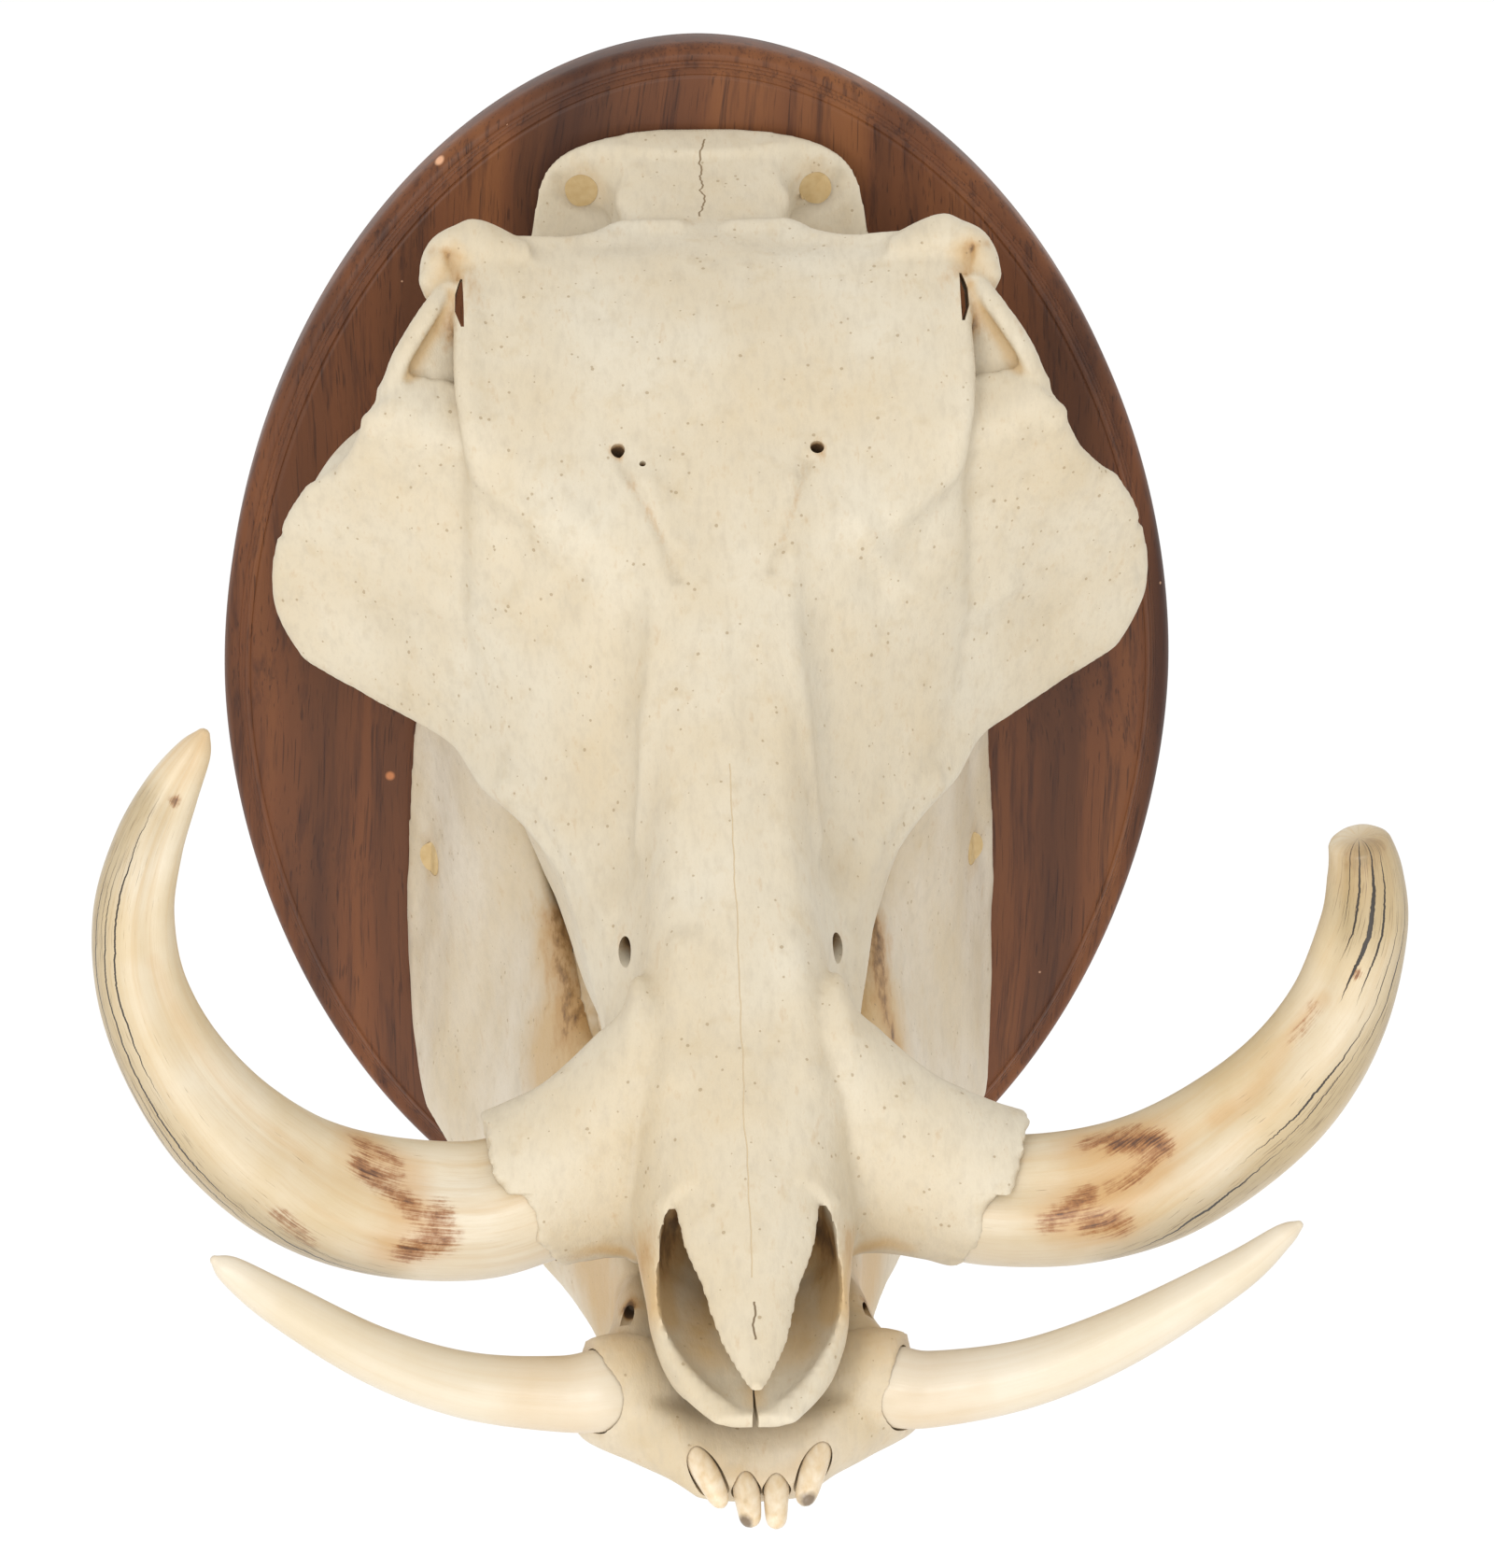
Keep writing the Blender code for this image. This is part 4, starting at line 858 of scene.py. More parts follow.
# Socket for a tooth, opened a little at its mouth as the bone has shrunk away there.
def socket(path, sides, kept, flare):
    rings = 120
    rows = through(path, rings)[: int(rings * kept)]
    grown = [(x, s, d, r + TOOTH_GAP + flare * (k / len(rows)) ** 3) for k, (x, s, d, r) in enumerate(rows)]
    return cutter("socket", bar_rings(grown, len(grown), sides))


def one_long(direction):
    direction = np.asarray(direction, float)
    return direction / np.linalg.norm(direction)


# Places along a hole, by how deep they lie in it.
def down_hole(place, direction, depths):
    return [np.asarray(place) + one_long(direction) * depth for depth in depths]


def straight_hole(place, direction, radius, depth):
    path = [(*end, radius) for end in down_hole(place, direction, (-HOLE_START, depth))]
    return cutter("hole", bar_rings(path, rings=14, sides=20))


# Cleft between the two halves of the upper jaw's tip, which opens forwards.
def lip_notch():
    top, foot = LIP_NOTCH_HEIGHTS
    rings = []
    for s, half in LIP_NOTCH:
        rings.append(to_world([(half, s, top), (-half, s, top), (-half, s, foot), (half, s, foot)]))
    return cutter("notch", rings)


# Dark slit between the brow and the bar behind the eye.
def orbit_slit(side):
    rings = []
    for s, d, x, width in ORBIT_SLIT:
        rings.append(to_world([
            (side * (x + across), s + SIGHT[0] * deep, d + SIGHT[1] * deep)
            for across, deep in ((0, SLIT_START), (width, SLIT_START), (width, SLIT_END), (0, SLIT_END))]))
    return cutter("slit", rings)


# Dark brown down the inside of a hole: brown stain, and painted shade deep in it.
def hole_shade_mark(place, direction, radius, depth, sides):
    path = down_hole(place, direction, (0.4 * depth, depth))
    width, strength = 1.25 * radius, 3.0
    return path, width, strength, BROWN, sides


def cavity_cutter():
    bm = bmesh.new()
    section_solid(bm, CAVITY, rings=70, half_points=30)
    return new_object("cavity", bm)


# Oval ring of a tusk's sleeve, which lies across the skull and is tilted to the slope of the face.
def sleeve_ring(side, row, points):
    x, s, d, tall, deep = row
    made = []
    for k in range(points):
        turn = 2 * math.pi * k / points
        up, out = tall * math.cos(turn), deep * math.sin(turn)
        made.append((side * x, s - up * math.sin(SLEEVE_TILT) + out * math.cos(SLEEVE_TILT),
                     d + up * math.cos(SLEEVE_TILT) + out * math.sin(SLEEVE_TILT)))
    return to_world(made)


# Sleeve of bone round the root of an upper tusk, with a slanted, broken mouth.
def tusk_sleeve(bm, side):
    sleeve = bmesh.new()
    loft(sleeve, [sleeve_ring(side, row, points=72) for row in through(TUSK_SLEEVE, 70)])
    mouth = np.array(SLEEVE_MOUTH[side])
    place = to_world(mouth)
    normal = to_world(mouth + np.array(MOUTH_FACING) * (side, 1, 1)) - place
    everything = sleeve.verts[:] + sleeve.edges[:] + sleeve.faces[:]
    bmesh.ops.bisect_plane(sleeve, geom=everything, plane_co=place, plane_no=normal, clear_outer=True)
    bmesh.ops.holes_fill(sleeve, edges=[edge for edge in sleeve.edges if edge.is_boundary])
    mesh = bpy.data.meshes.new("sleeve")
    sleeve.to_mesh(mesh)
    sleeve.free()
    bm.from_mesh(mesh)
    bpy.data.meshes.remove(mesh)


# Pushes the rim of each tusk sleeve in and out, as broken thin bone is.
def ragged_mouths(item):
    mesh = item.data
    places, normals = places_and_normals(mesh)
    points = to_skull(places)
    for side, mouth in SLEEVE_MOUTH.items():
        facing = one_long(np.array(MOUTH_FACING) * (side, 1, 1))
        before = (points - np.array(mouth)) @ facing
        close = np.clip(1.0 - np.abs(before) / RIM_REACH, 0.0, 1.0) * (np.sign(points[:, 0]) == side)
        close *= (np.abs(points[:, 0]) > RIM_AREA[0]) * (points[:, 1] > RIM_AREA[1])
        chosen = np.flatnonzero(close > 0)
        height = points[chosen, 2] * math.cos(SLEEVE_TILT) - points[chosen, 1] * math.sin(SLEEVE_TILT)
        crumble = RIM_CRUMBLE * waves(points[chosen], size=3.0, seed=9.0)
        push = np.interp(height, *np.array(RIM_WAVES[side]).T) + crumble
        points[chosen] += facing * (push * close[chosen])[:, None]
        places[chosen] = to_world(points[chosen])
    mesh.vertices.foreach_set("co", places.ravel())
    mesh.update()


# Plate at the nape, a stack of ovals.
def nape_plate(bm, rings, points):
    made = []
    for d, half, s in through(NAPE, rings):
        turns = [2 * math.pi * k / points for k in range(points)]
        made.append(to_world([(half * math.cos(a), s + NAPE_THICKNESS / 2 * math.sin(a), d) for a in turns]))
    loft(bm, made)


# The core and its nose cavity come first, then what stands on them, and all of it is fused and carved.
def build_cranium(finish):
    bm = bmesh.new()
    section_solid(bm, CORE, rings=240, half_points=60)
    item = new_object("cranium_bone", bm, finish)
    cut(item, [cavity_cutter()])
    bm = bmesh.new()
    bm.from_mesh(item.data)
    section_solid(bm, NASALS, rings=60, half_points=24)
    nape_plate(bm, rings=60, points=72)
    both_sides(plate, bm, CHEEK, thickness=CHEEK_THICKNESS, rings=160, across=40)
    both_sides(plate, bm, ORBIT_BAR, thickness=ORBIT_BAR_THICKNESS, rings=60, across=30)
    both_sides(plate, bm, ORBIT_WALL, thickness=ORBIT_WALL_THICKNESS, rings=40, across=24)
    both_sides(bar, bm, ORBIT_RIM, rings=40, sides=24)
    both_sides(bar, bm, BROW_HOOK, rings=40, sides=32)
    both_sides(bar, bm, ARCH, rings=50, sides=36)
    for side in BOTH:
        tusk_sleeve(bm, side)
        ball(bm, on_side(NAPE_KNOB[0], side), NAPE_KNOB[1])
    both_sides(bar, bm, NOTCH_END, rings=20, sides=20)
    ball(bm, *NASAL_TIP)
    bm.to_mesh(item.data)
    bm.free()
    fuse(item)
    ragged_mouths(item)
    carve(item, CRANIUM_STROKES, roughness=0.35)
    thin_out(item, CRANIUM_TRIANGLES)
    clear_of_board(item)
    return item


def build_mandible(finish):
    bm = bmesh.new()
    for side in BOTH:
        jaw_side(bm, side)
        ball(bm, on_side(JAW_KNOB[0], side), JAW_KNOB[1])
    section_solid(bm, CHIN, rings=90, half_points=40)
    both_sides(bar, bm, LOWER_SLEEVE, rings=40, sides=40)
    item = new_object("mandible_bone", bm, finish)
    fuse(item)
    carve(item, MANDIBLE_STROKES, roughness=0.3)
    thin_out(item, MANDIBLE_TRIANGLES)
    clear_of_board(item)
    return item


# Worn tusk: shaped rings along its path, with a map of length and turn for its cracks.
def build_tusk(name, path, finish, rings, sides, grooves, twist, tip):
    rows = bar_rings(path, rings, sides)
    centres = [ring.mean(0) for ring in rows]
    lengths = np.concatenate([[0.0], np.cumsum(np.linalg.norm(np.diff(centres, axis=0), axis=1))])
    shaped = []
    for k, (ring, centre) in enumerate(zip(rows, centres)):
        share = k / (rings - 1)
        new = []
        for j, place in enumerate(ring):
            turn = j / sides
            size = 1.0
            for at, spin, width, depth in grooves:
                away = (turn - at - spin * share + 0.5) % 1.0 - 0.5
                size -= depth * math.exp(-(away / width) ** 2) * min(1.0, share * GROOVE_FADE)
            size += TUSK_WAVER * noise.noise(Vector(place) * TUSK_WAVES)
            new.append(centre + (place - centre) * size)
        shaped.append(np.array(new))
    forward = one_long(centres[-1] - centres[-2])
    for reach, size in tip:
        shaped.append(centres[-1] + forward * reach * MM + (shaped[rings - 1] - centres[-1]) * size)
        lengths = np.append(lengths, lengths[rings - 1] + reach * MM)
    bm = bmesh.new()
    layer = bm.loops.layers.uv.new("length_and_turn")
    made = loft(bm, shaped)
    where = {vert: (lengths[k], j / sides) for k, row in enumerate(made) for j, vert in enumerate(row)}
    twist = np.array(twist)
    for face in bm.faces:
        turns = [where[v][1] for v in face.verts if v in where]
        split = max(turns) - min(turns) > 0.5
        for loop in face.loops:
            if loop.vert in where:
                length, turn = where[loop.vert]
                if split and turn < 0.5:
                    turn += 1.0
            else:
                length = max(where[v][0] for v in face.verts if v in where)
                turn = sum(turns) / len(turns)
            length *= 10.0
            loop[layer].uv = (length, turn - np.interp(length, twist[:, 0], twist[:, 1]))
    return new_object(name, bm, finish)


def build_incisor(name, path, finish):
    bm = bmesh.new()
    rows = bar_rings(path, rings=40, sides=32)
    shaped = []
    for k, ring in enumerate(rows):
        centre = ring.mean(0)
        past = max(0.0, (k / (len(rows) - 1) - INCISOR_TIP_START) / (1.0 - INCISOR_TIP_START))
        size = math.sqrt(max(0.0, 1.0 - past ** 2))
        shaped.append(centre + (ring - centre) * max(size, INCISOR_TIP_LEAST))
    loft(bm, shaped)
    return new_object(name, bm, finish)


# Cheek tooth: bundled pillars of enamel with a worn, bumpy top.
def build_molar(name, centre, size, upper, finish):
    bm = bmesh.new()
    rings = []
    points = 120
    for level in np.linspace(-0.5, 0.5, 12):
        ring = []
        worn = level if upper else -level
        shrink = 1.0 - 0.10 * max(0.0, abs(level) * 2 - 0.7)
        for k in range(points):
            turn = 2 * math.pi * k / points
            x = math.copysign(abs(math.cos(turn)) ** MOLAR_SQUARENESS, math.cos(turn)) * 0.5
            s = math.copysign(abs(math.sin(turn)) ** MOLAR_SQUARENESS, math.sin(turn)) * 0.5
            pillar = 1.0 - MOLAR_PILLAR_DEPTH * (0.5 + 0.5 * math.cos(s * 2 * math.pi * MOLAR_PILLARS))
            bump = MOLAR_BUMPS * noise.noise(Vector((x * 9, s * 20, worn * 3))) if abs(level) == 0.5 else 0.0
            ring.append(np.array(centre) + np.array((x * pillar * shrink, s * shrink, level + bump)) * size)
        rings.append(to_world(ring))
    loft(bm, rings)
    return new_object(name, bm, finish)


# Directions across and up, square to the given one.
def square_to(direction):
    across = one_long(np.cross(direction, (0.0, 0.0, 1.0)))
    return across, np.cross(across, direction)


# Filler over a screw head: an uneven disc that follows the face of the bone around it.
def build_plug(name, bone_item, screw, direction, seed, finish):
    direction = one_long(direction)
    screw_points = np.array([v.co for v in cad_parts[screw].data.vertices])
    depth = screw_points @ direction
    head = screw_points[depth < depth.min() + 0.01 * MM].mean(0)
    across, up = square_to(direction)
    tree = BVHTree.FromPolygons([v.co for v in bone_item.data.vertices],
                                [p.vertices for p in bone_item.data.polygons])
    sides = 40

    # Ring at a share of the radius, set back from the face of the bone, or from the screw head.
    def ring(share, set_back, grow, from_head=False):
        made = []
        for k in range(sides):
            turn = 2 * math.pi * k / sides
            waver = PLUG_WAVER * noise.noise(Vector((math.cos(turn), math.sin(turn), seed)))
            radius = PLUG_RADIUS + grow + waver
            place = head + radius * share * MM * (across * math.cos(turn) + up * math.sin(turn))
            hit = tree.ray_cast(Vector(place - direction * LOOK_FROM), Vector(direction), LOOK_LENGTH)[0]
            face = max((np.array(hit) - place) @ direction, -PLUG_DEEPEST * MM) if hit else -PLUG_DEPTH * MM
            made.append(place + direction * ((0.0 if from_head else face) + set_back * MM))
        return made

    bm = bmesh.new()
    rings = [ring(share, PLUG_PROUD, 0.0) for share in (0.12, 0.4, 0.7, 0.92, 1.0)]
    loft(bm, rings + [ring(1.0, -GAP, 0.0, from_head=True)])
    plug = new_object(name, bm, finish)
    bore = cutter("bore", [ring(1.0, -BORE_START, PLUG_GAP), ring(1.0, -GAP, PLUG_GAP, from_head=True)])
    return plug, bore, head, direction


# Clearance for a screw, from under its filler through to the far end of its shank.
def screw_way(head, direction):
    across, up = square_to(direction)
    sides = 24
    rings = []
    for distance, radius in (
            (-0.5, PLUG_RADIUS), (SCREW_HEAD_DEPTH, PLUG_RADIUS),
            (SCREW_HEAD_DEPTH + 0.4, SCREW_WAY_RADIUS), (SCREW_WAY_LENGTH, SCREW_WAY_RADIUS)):
        turns = [2 * math.pi * k / sides for k in range(sides)]
        rings.append([head + (distance * direction + radius * (across * math.cos(a) + up * math.sin(a))) * MM
                      for a in turns])
    return cutter("way", rings)


# Board outline, stepped in from its widest line.
def board_outline(inset):
    half_width = BOARD_WIDTH / 2 - inset
    half_height = BOARD_HEIGHT / 2 - inset
    power = 2.0 / BOARD_ROUNDNESS
    made = []
    for k in range(BOARD_SIDES):
        turn = 2 * math.pi * k / BOARD_SIDES
        cos, sin = math.cos(turn), math.sin(turn)
        made.append((half_width * math.copysign(abs(cos) ** power, cos),
                     half_height * math.copysign(abs(sin) ** power, sin)))
    return made


# Board with a rounded edge, two fine beads and a cove, and a map of how many centimetres in a place lies.
def build_board(finish):
    bm = bmesh.new()
    rings = [[(x * MM, -depth * MM, z * MM) for x, z in board_outline(inset)] for inset, depth in BOARD_EDGE]
    rows = loft(bm, rings)
    inset_of = {vert: BOARD_EDGE[k][0] / 10.0 for k, row in enumerate(rows) for vert in row}
    layer = bm.verts.layers.float.new("inset")
    for vert in bm.verts:
        vert[layer] = inset_of.get(vert, BOARD_MIDDLE_INSET)
    return new_object("board_panel", bm, finish)


# Display colour as #RRGGBB to the linear values that shaders take.
def colour(code):
    values = [int(code[k:k + 2], 16) / 255 for k in (1, 3, 5)]
    return (*[v / 12.92 if v <= 0.04045 else ((v + 0.055) / 1.055) ** 2.4 for v in values], 1.0)


# Adds one node. A node given as an input stands for its first output.
def add(nodes, kind, inputs=None, stops=None, **settings):
    made = nodes.new("ShaderNode" + kind)
    for name, value in settings.items():
        setattr(made, name, value)
    for name, value in (inputs or {}).items():
        if isinstance(value, bpy.types.Node):
            value = value.outputs[0]
        if isinstance(value, bpy.types.NodeSocket):
            made.id_data.links.new(value, made.inputs[name])
        else:
            made.inputs[name].default_value = value
    for k, (place, shade) in enumerate(stops or []):
        ramp = made.color_ramp.elements
        stop = ramp[k] if k < 2 else ramp.new(place)
        stop.position = place
        stop.color = colour(shade)
    return made


def new_finish(name, roughness, ior=1.5):
    made = bpy.data.materials.new(name)
    made.use_nodes = True
    nodes = made.node_tree.nodes
    shader = nodes["Principled BSDF"]
    shader.inputs["Roughness"].default_value = roughness
    shader.inputs["IOR"].default_value = ior
    return made, nodes, shader


# Gives a finish its colour, and its fine relief where it has one.
def link_up(shader, tint, relief=None):
    links = shader.id_data.links
    links.new(tint, shader.inputs["Base Color"])
    if relief:
        links.new(relief, shader.inputs["Normal"])


# Lays one colour over another where a mask is one.
def over(nodes, under, shade, mask):
    made = add(nodes, "Mix", {0: mask, 6: under, 7: colour(shade)}, data_type="RGBA")
    return made.outputs[2]


# Fine lines in the bone lie above this height, in metres.
SEAM_LOWEST = 0.05


# Thin wandering line at x = 0 between two places along the skull, as a mask.
def seam_line(nodes, place, start, end, width, wander, scale):
    parts = add(nodes, "SeparateXYZ", {0: place})
    along = add(nodes, "Math", {0: parts.outputs[1], 1: scale}, operation="MULTIPLY")
    drift = add(nodes, "TexNoise", {"W": along, "Scale": 1.0, "Detail": 3.0}, noise_dimensions="1D")
    drift = add(nodes, "Math", {0: drift, 1: 0.5}, operation="SUBTRACT")
    drift = add(nodes, "Math", {0: drift, 1: wander, 2: parts.outputs[0]}, operation="MULTIPLY_ADD")
    drift = add(nodes, "Math", {0: drift}, operation="ABSOLUTE")
    line = add(nodes, "MapRange", {"Value": drift, "From Min": width, "From Max": width * 0.4})
    near = add(nodes, "Math", {0: parts.outputs[1], 1: -start}, operation="LESS_THAN")
    far = add(nodes, "Math", {0: parts.outputs[1], 1: -end}, operation="GREATER_THAN")
    above = add(nodes, "Math", {0: parts.outputs[2], 1: SEAM_LOWEST}, operation="GREATER_THAN")
    for test in (near, far, above):
        line = add(nodes, "Math", {0: line, 1: test}, operation="MULTIPLY")
    return line


# Moves a place turned into the skull's axes to the skull's own zero, in metres.
SKULL_ORIGIN = (0, -0.0365, -0.0072)


# Bone: boiled, bleached and dry, so it is matt, cream with warm patches, and pitted by fine pores. Real
# pores of 0.1 to 0.3 mm don't show in the render, so they are drawn up to 1 mm wide.
def bone_finish(name, base, warm, lines):
    made, nodes, shader = new_finish(name, 0.6, 1.54)
    place = add(nodes, "TexCoord").outputs["Object"]
    along = add(nodes, "Mapping", {"Vector": place, "Rotation": (-SKULL_PITCH, 0, 0),
                                   "Location": SKULL_ORIGIN})
    grain_place = add(nodes, "Mapping", {"Vector": along, "Scale": (1.0, 0.3, 0.6)})
    clouds = add(nodes, "TexNoise", {"Vector": place, "Scale": 24.0, "Detail": 5.0, "Roughness": 0.55})
    mottle = add(nodes, "TexNoise", {"Vector": place, "Scale": 150.0, "Detail": 6.0, "Roughness": 0.6})
    grain = add(nodes, "TexNoise", {"Vector": grain_place, "Scale": 420.0, "Detail": 4.0, "Roughness": 0.65})
    tint = add(nodes, "ValToRGB", {0: clouds}, [(0.34, base), (0.66, warm)])
    small = add(nodes, "MapRange", {"Value": mottle, "From Min": 0.54, "From Max": 0.78, "To Max": 0.4})
    tint = over(nodes, tint, "#B39E79", small)
    dull = add(nodes, "MapRange", {"Value": grain, "From Min": 0.30, "From Max": 0.52,
                                   "To Min": 0.3, "To Max": 0.0})
    tint = over(nodes, tint, "#AA9E8A", dull)
    marks = add(nodes, "SeparateColor", {0: add(nodes, "Attribute", attribute_name=MARKS_AND_SHADE)})
    tan, brown, hollow_shade = marks.outputs
    ragged = add(nodes, "Math", {0: mottle, 1: 0.5, 2: -0.25}, operation="MULTIPLY_ADD")
    tan = add(nodes, "Math", {0: tan, 1: ragged}, operation="ADD")
    tan = add(nodes, "MapRange", {"Value": tan, "From Min": 0.12, "From Max": 0.9, "To Max": 0.7})
    tint = over(nodes, tint, "#BC985F", tan)
    streaks = add(nodes, "Math", {0: grain, 1: 1.6, 2: -0.8}, operation="MULTIPLY_ADD")
    brown = add(nodes, "Math", {0: brown, 1: streaks}, operation="ADD")
    stain = add(nodes, "MapRange", {"Value": brown, "From Min": 0.15, "From Max": 0.9, "To Max": 0.8})
    tint = over(nodes, tint, "#A67C45", stain)
    deep = add(nodes, "MapRange", {"Value": brown, "From Min": 0.75, "From Max": 1.25, "To Max": 0.85})
    tint = over(nodes, tint, "#4A2E16", deep)
    # Painted shade: the hollows of the bone are darkened.
    shade = add(nodes, "MapRange", {"Value": hollow_shade, "From Min": 0.15, "From Max": 1.0, "To Max": 0.32})
    tint = over(nodes, tint, "#A3947A", shade)
    pits = add(nodes, "TexVoronoi", {"Vector": place, "Scale": 330.0, "Randomness": 1.0})
    patch = add(nodes, "MapRange", {"Value": mottle, "From Min": 0.46, "From Max": 0.62,
                                    "To Min": 0.03, "To Max": 0.17})
    pit = add(nodes, "Math", {0: pits.outputs["Distance"], 1: patch}, operation="LESS_THAN")
    pit_tint = add(nodes, "Math", {0: pit, 1: 0.55}, operation="MULTIPLY")
    tint = over(nodes, tint, "#8A7350", pit_tint)
    height = add(nodes, "Math", {0: mottle, 1: 0.8, 2: grain}, operation="MULTIPLY_ADD")
    height = add(nodes, "Math", {0: pit, 1: -0.9, 2: height}, operation="MULTIPLY_ADD")
    for start, end, width, wander, scale, shade_code in lines:
        line = seam_line(nodes, along, start, end, width, wander, scale)
        tint = over(nodes, tint, shade_code, line)
        height = add(nodes, "Math", {0: line, 1: -1.5, 2: height}, operation="MULTIPLY_ADD")
    bump = add(nodes, "Bump", {"Height": height, "Strength": 0.42, "Distance": 0.0006})
    link_up(shader, tint, bump.outputs[0])
    return made


# A split in a tusk narrows to nothing over this length at each end, in decimetres.
SPLIT_TAPER = 0.3


# Lengthwise split in a tusk: it starts and ends at a length, lies at a turn from the main one, and wanders.
def split_line(nodes, length, turn, start, end, at, width):
    drift = add(nodes, "TexNoise", {"W": length, "Scale": 9.0, "Detail": 6.0, "Roughness": 0.75},
                noise_dimensions="1D")
    drift = add(nodes, "Math", {0: drift, 1: 0.022, 2: -0.011 - at}, operation="MULTIPLY_ADD")
    away = add(nodes, "Math", {0: turn, 1: drift}, operation="ADD")
    away = add(nodes, "Math", {0: away}, operation="ABSOLUTE")
    near = add(nodes, "MapRange", {"Value": length, "From Min": start, "From Max": start + SPLIT_TAPER})
    far = add(nodes, "MapRange", {"Value": length, "From Min": end, "From Max": end - SPLIT_TAPER})
    reach = add(nodes, "Math", {0: near, 1: far}, operation="MULTIPLY")
    reach = add(nodes, "Math", {0: reach, 1: width}, operation="MULTIPLY")
    gap = add(nodes, "Math", {0: reach, 1: away}, operation="SUBTRACT")
    return add(nodes, "MapRange", {"Value": gap, "From Min": 0.0, "From Max": 0.0012})


# Tusk ivory: dense and close grained, satin where it is worn, split lengthwise where it dried.
def ivory_finish(name, base, warm, roughness, splits):
    made, nodes, shader = new_finish(name, roughness, 1.54)
    place = add(nodes, "TexCoord").outputs["Object"]
    unrolled = add(nodes, "SeparateXYZ", {0: add(nodes, "UVMap", uv_map="length_and_turn")})
    length = unrolled.outputs[0]
    turn = add(nodes, "Math", {0: unrolled.outputs[1], 1: 0.5}, operation="ADD")
    turn = add(nodes, "Math", {0: turn}, operation="FRACT")
    turn = add(nodes, "Math", {0: turn, 1: 0.5}, operation="SUBTRACT")
    angle = add(nodes, "Math", {0: turn, 1: 2 * math.pi}, operation="MULTIPLY")
    cos = add(nodes, "Math", {0: angle}, operation="COSINE")
    sin = add(nodes, "Math", {0: angle}, operation="SINE")
    round_place = add(nodes, "CombineXYZ", {0: cos, 1: sin, 2: length})
    fibre_place = add(nodes, "Mapping", {"Vector": round_place, "Scale": (1.0, 1.0, 0.28)})
    clouds = add(nodes, "TexNoise", {"Vector": place, "Scale": 30.0, "Detail": 5.0})
    specks = add(nodes, "TexNoise", {"Vector": place, "Scale": 420.0, "Detail": 4.0, "Roughness": 0.7})
    fibres = add(nodes, "TexNoise", {"Vector": fibre_place, "Scale": 30.0, "Detail": 6.0, "Roughness": 0.65})
    bands = add(nodes, "TexNoise", {"Vector": fibre_place, "Scale": 4.0, "Detail": 3.0})
    tint = add(nodes, "ValToRGB", {0: clouds}, [(0.35, base), (0.68, warm)])
    strand_share, band_share = (0.3, 0.5) if splits else (0.1, 0.15)
    strand = add(nodes, "MapRange", {"Value": fibres, "From Min": 0.5, "From Max": 0.75,
                                     "To Max": strand_share})
    tint = over(nodes, tint, "#B5976B", strand)
    broad = add(nodes, "MapRange", {"Value": bands, "From Min": 0.50, "From Max": 0.68, "To Max": band_share})
    tint = over(nodes, tint, "#BFA277", broad)
    marks = add(nodes, "SeparateColor", {0: add(nodes, "Attribute", attribute_name=MARKS_AND_SHADE)})
    tan, brown, dry = marks.outputs
    halo = add(nodes, "Math", {0: clouds, 1: 0.6, 2: -0.3}, operation="MULTIPLY_ADD")
    halo = add(nodes, "Math", {0: tan, 1: halo}, operation="ADD")
    halo = add(nodes, "MapRange", {"Value": halo, "From Min": 0.12, "From Max": 1.0, "To Max": 0.6})
    tint = over(nodes, tint, "#B5823F", halo)
    scratch = add(nodes, "Math", {0: fibres, 1: 2.6, 2: -1.3}, operation="MULTIPLY_ADD")
    scratch = add(nodes, "Math", {0: specks, 1: 1.4, 2: scratch}, operation="MULTIPLY_ADD")
    scorch = add(nodes, "Math", {0: brown, 1: scratch}, operation="ADD")
    scorch = add(nodes, "Math", {0: scorch, 1: -0.85}, operation="ADD")
    inside = add(nodes, "MapRange", {"Value": brown, "From Min": 0.08, "From Max": 0.3})
    scorch = add(nodes, "Math", {0: scorch, 1: inside}, operation="MULTIPLY")
    stain = add(nodes, "MapRange", {"Value": scorch, "From Min": 0.0, "From Max": 0.6, "To Max": 0.85})
    tint = over(nodes, tint, "#8B5525", stain)
    deep = add(nodes, "MapRange", {"Value": scorch, "From Min": 0.6, "From Max": 1.05, "To Max": 0.85})
    tint = over(nodes, tint, "#43271A", deep)
    height = add(nodes, "Math", {0: fibres, 1: 0.5}, operation="MULTIPLY")
    if splits:
        # Grey of the dry side of the tusk, with painted shade where the hollows of its grooves were found.
        grey = add(nodes, "MapRange", {"Value": dry, "From Min": 0.2, "From Max": 0.9, "To Max": 0.75})
        tint = over(nodes, tint, "#A08C66", grey)
        hair = add(nodes, "TexNoise", {"Vector": fibre_place, "Scale": 44.0, "Detail": 2.0})
        hair = add(nodes, "Math", {0: dry, 1: 0.16, 2: hair}, operation="MULTIPLY_ADD")
        hair = add(nodes, "MapRange", {"Value": hair, "From Min": 0.72, "From Max": 0.80, "To Max": 0.7})
        tint = over(nodes, tint, "#6B563C", hair)
        for split in splits:
            line = split_line(nodes, length, turn, *split)
            tint = over(nodes, tint, "#2B231A", line)
            height = add(nodes, "Math", {0: line, 1: -2.5, 2: height}, operation="MULTIPLY_ADD")
    bump = add(nodes, "Bump", {"Height": height, "Strength": 0.25, "Distance": 0.0005})
    link_up(shader, tint, bump.outputs[0])
    return made


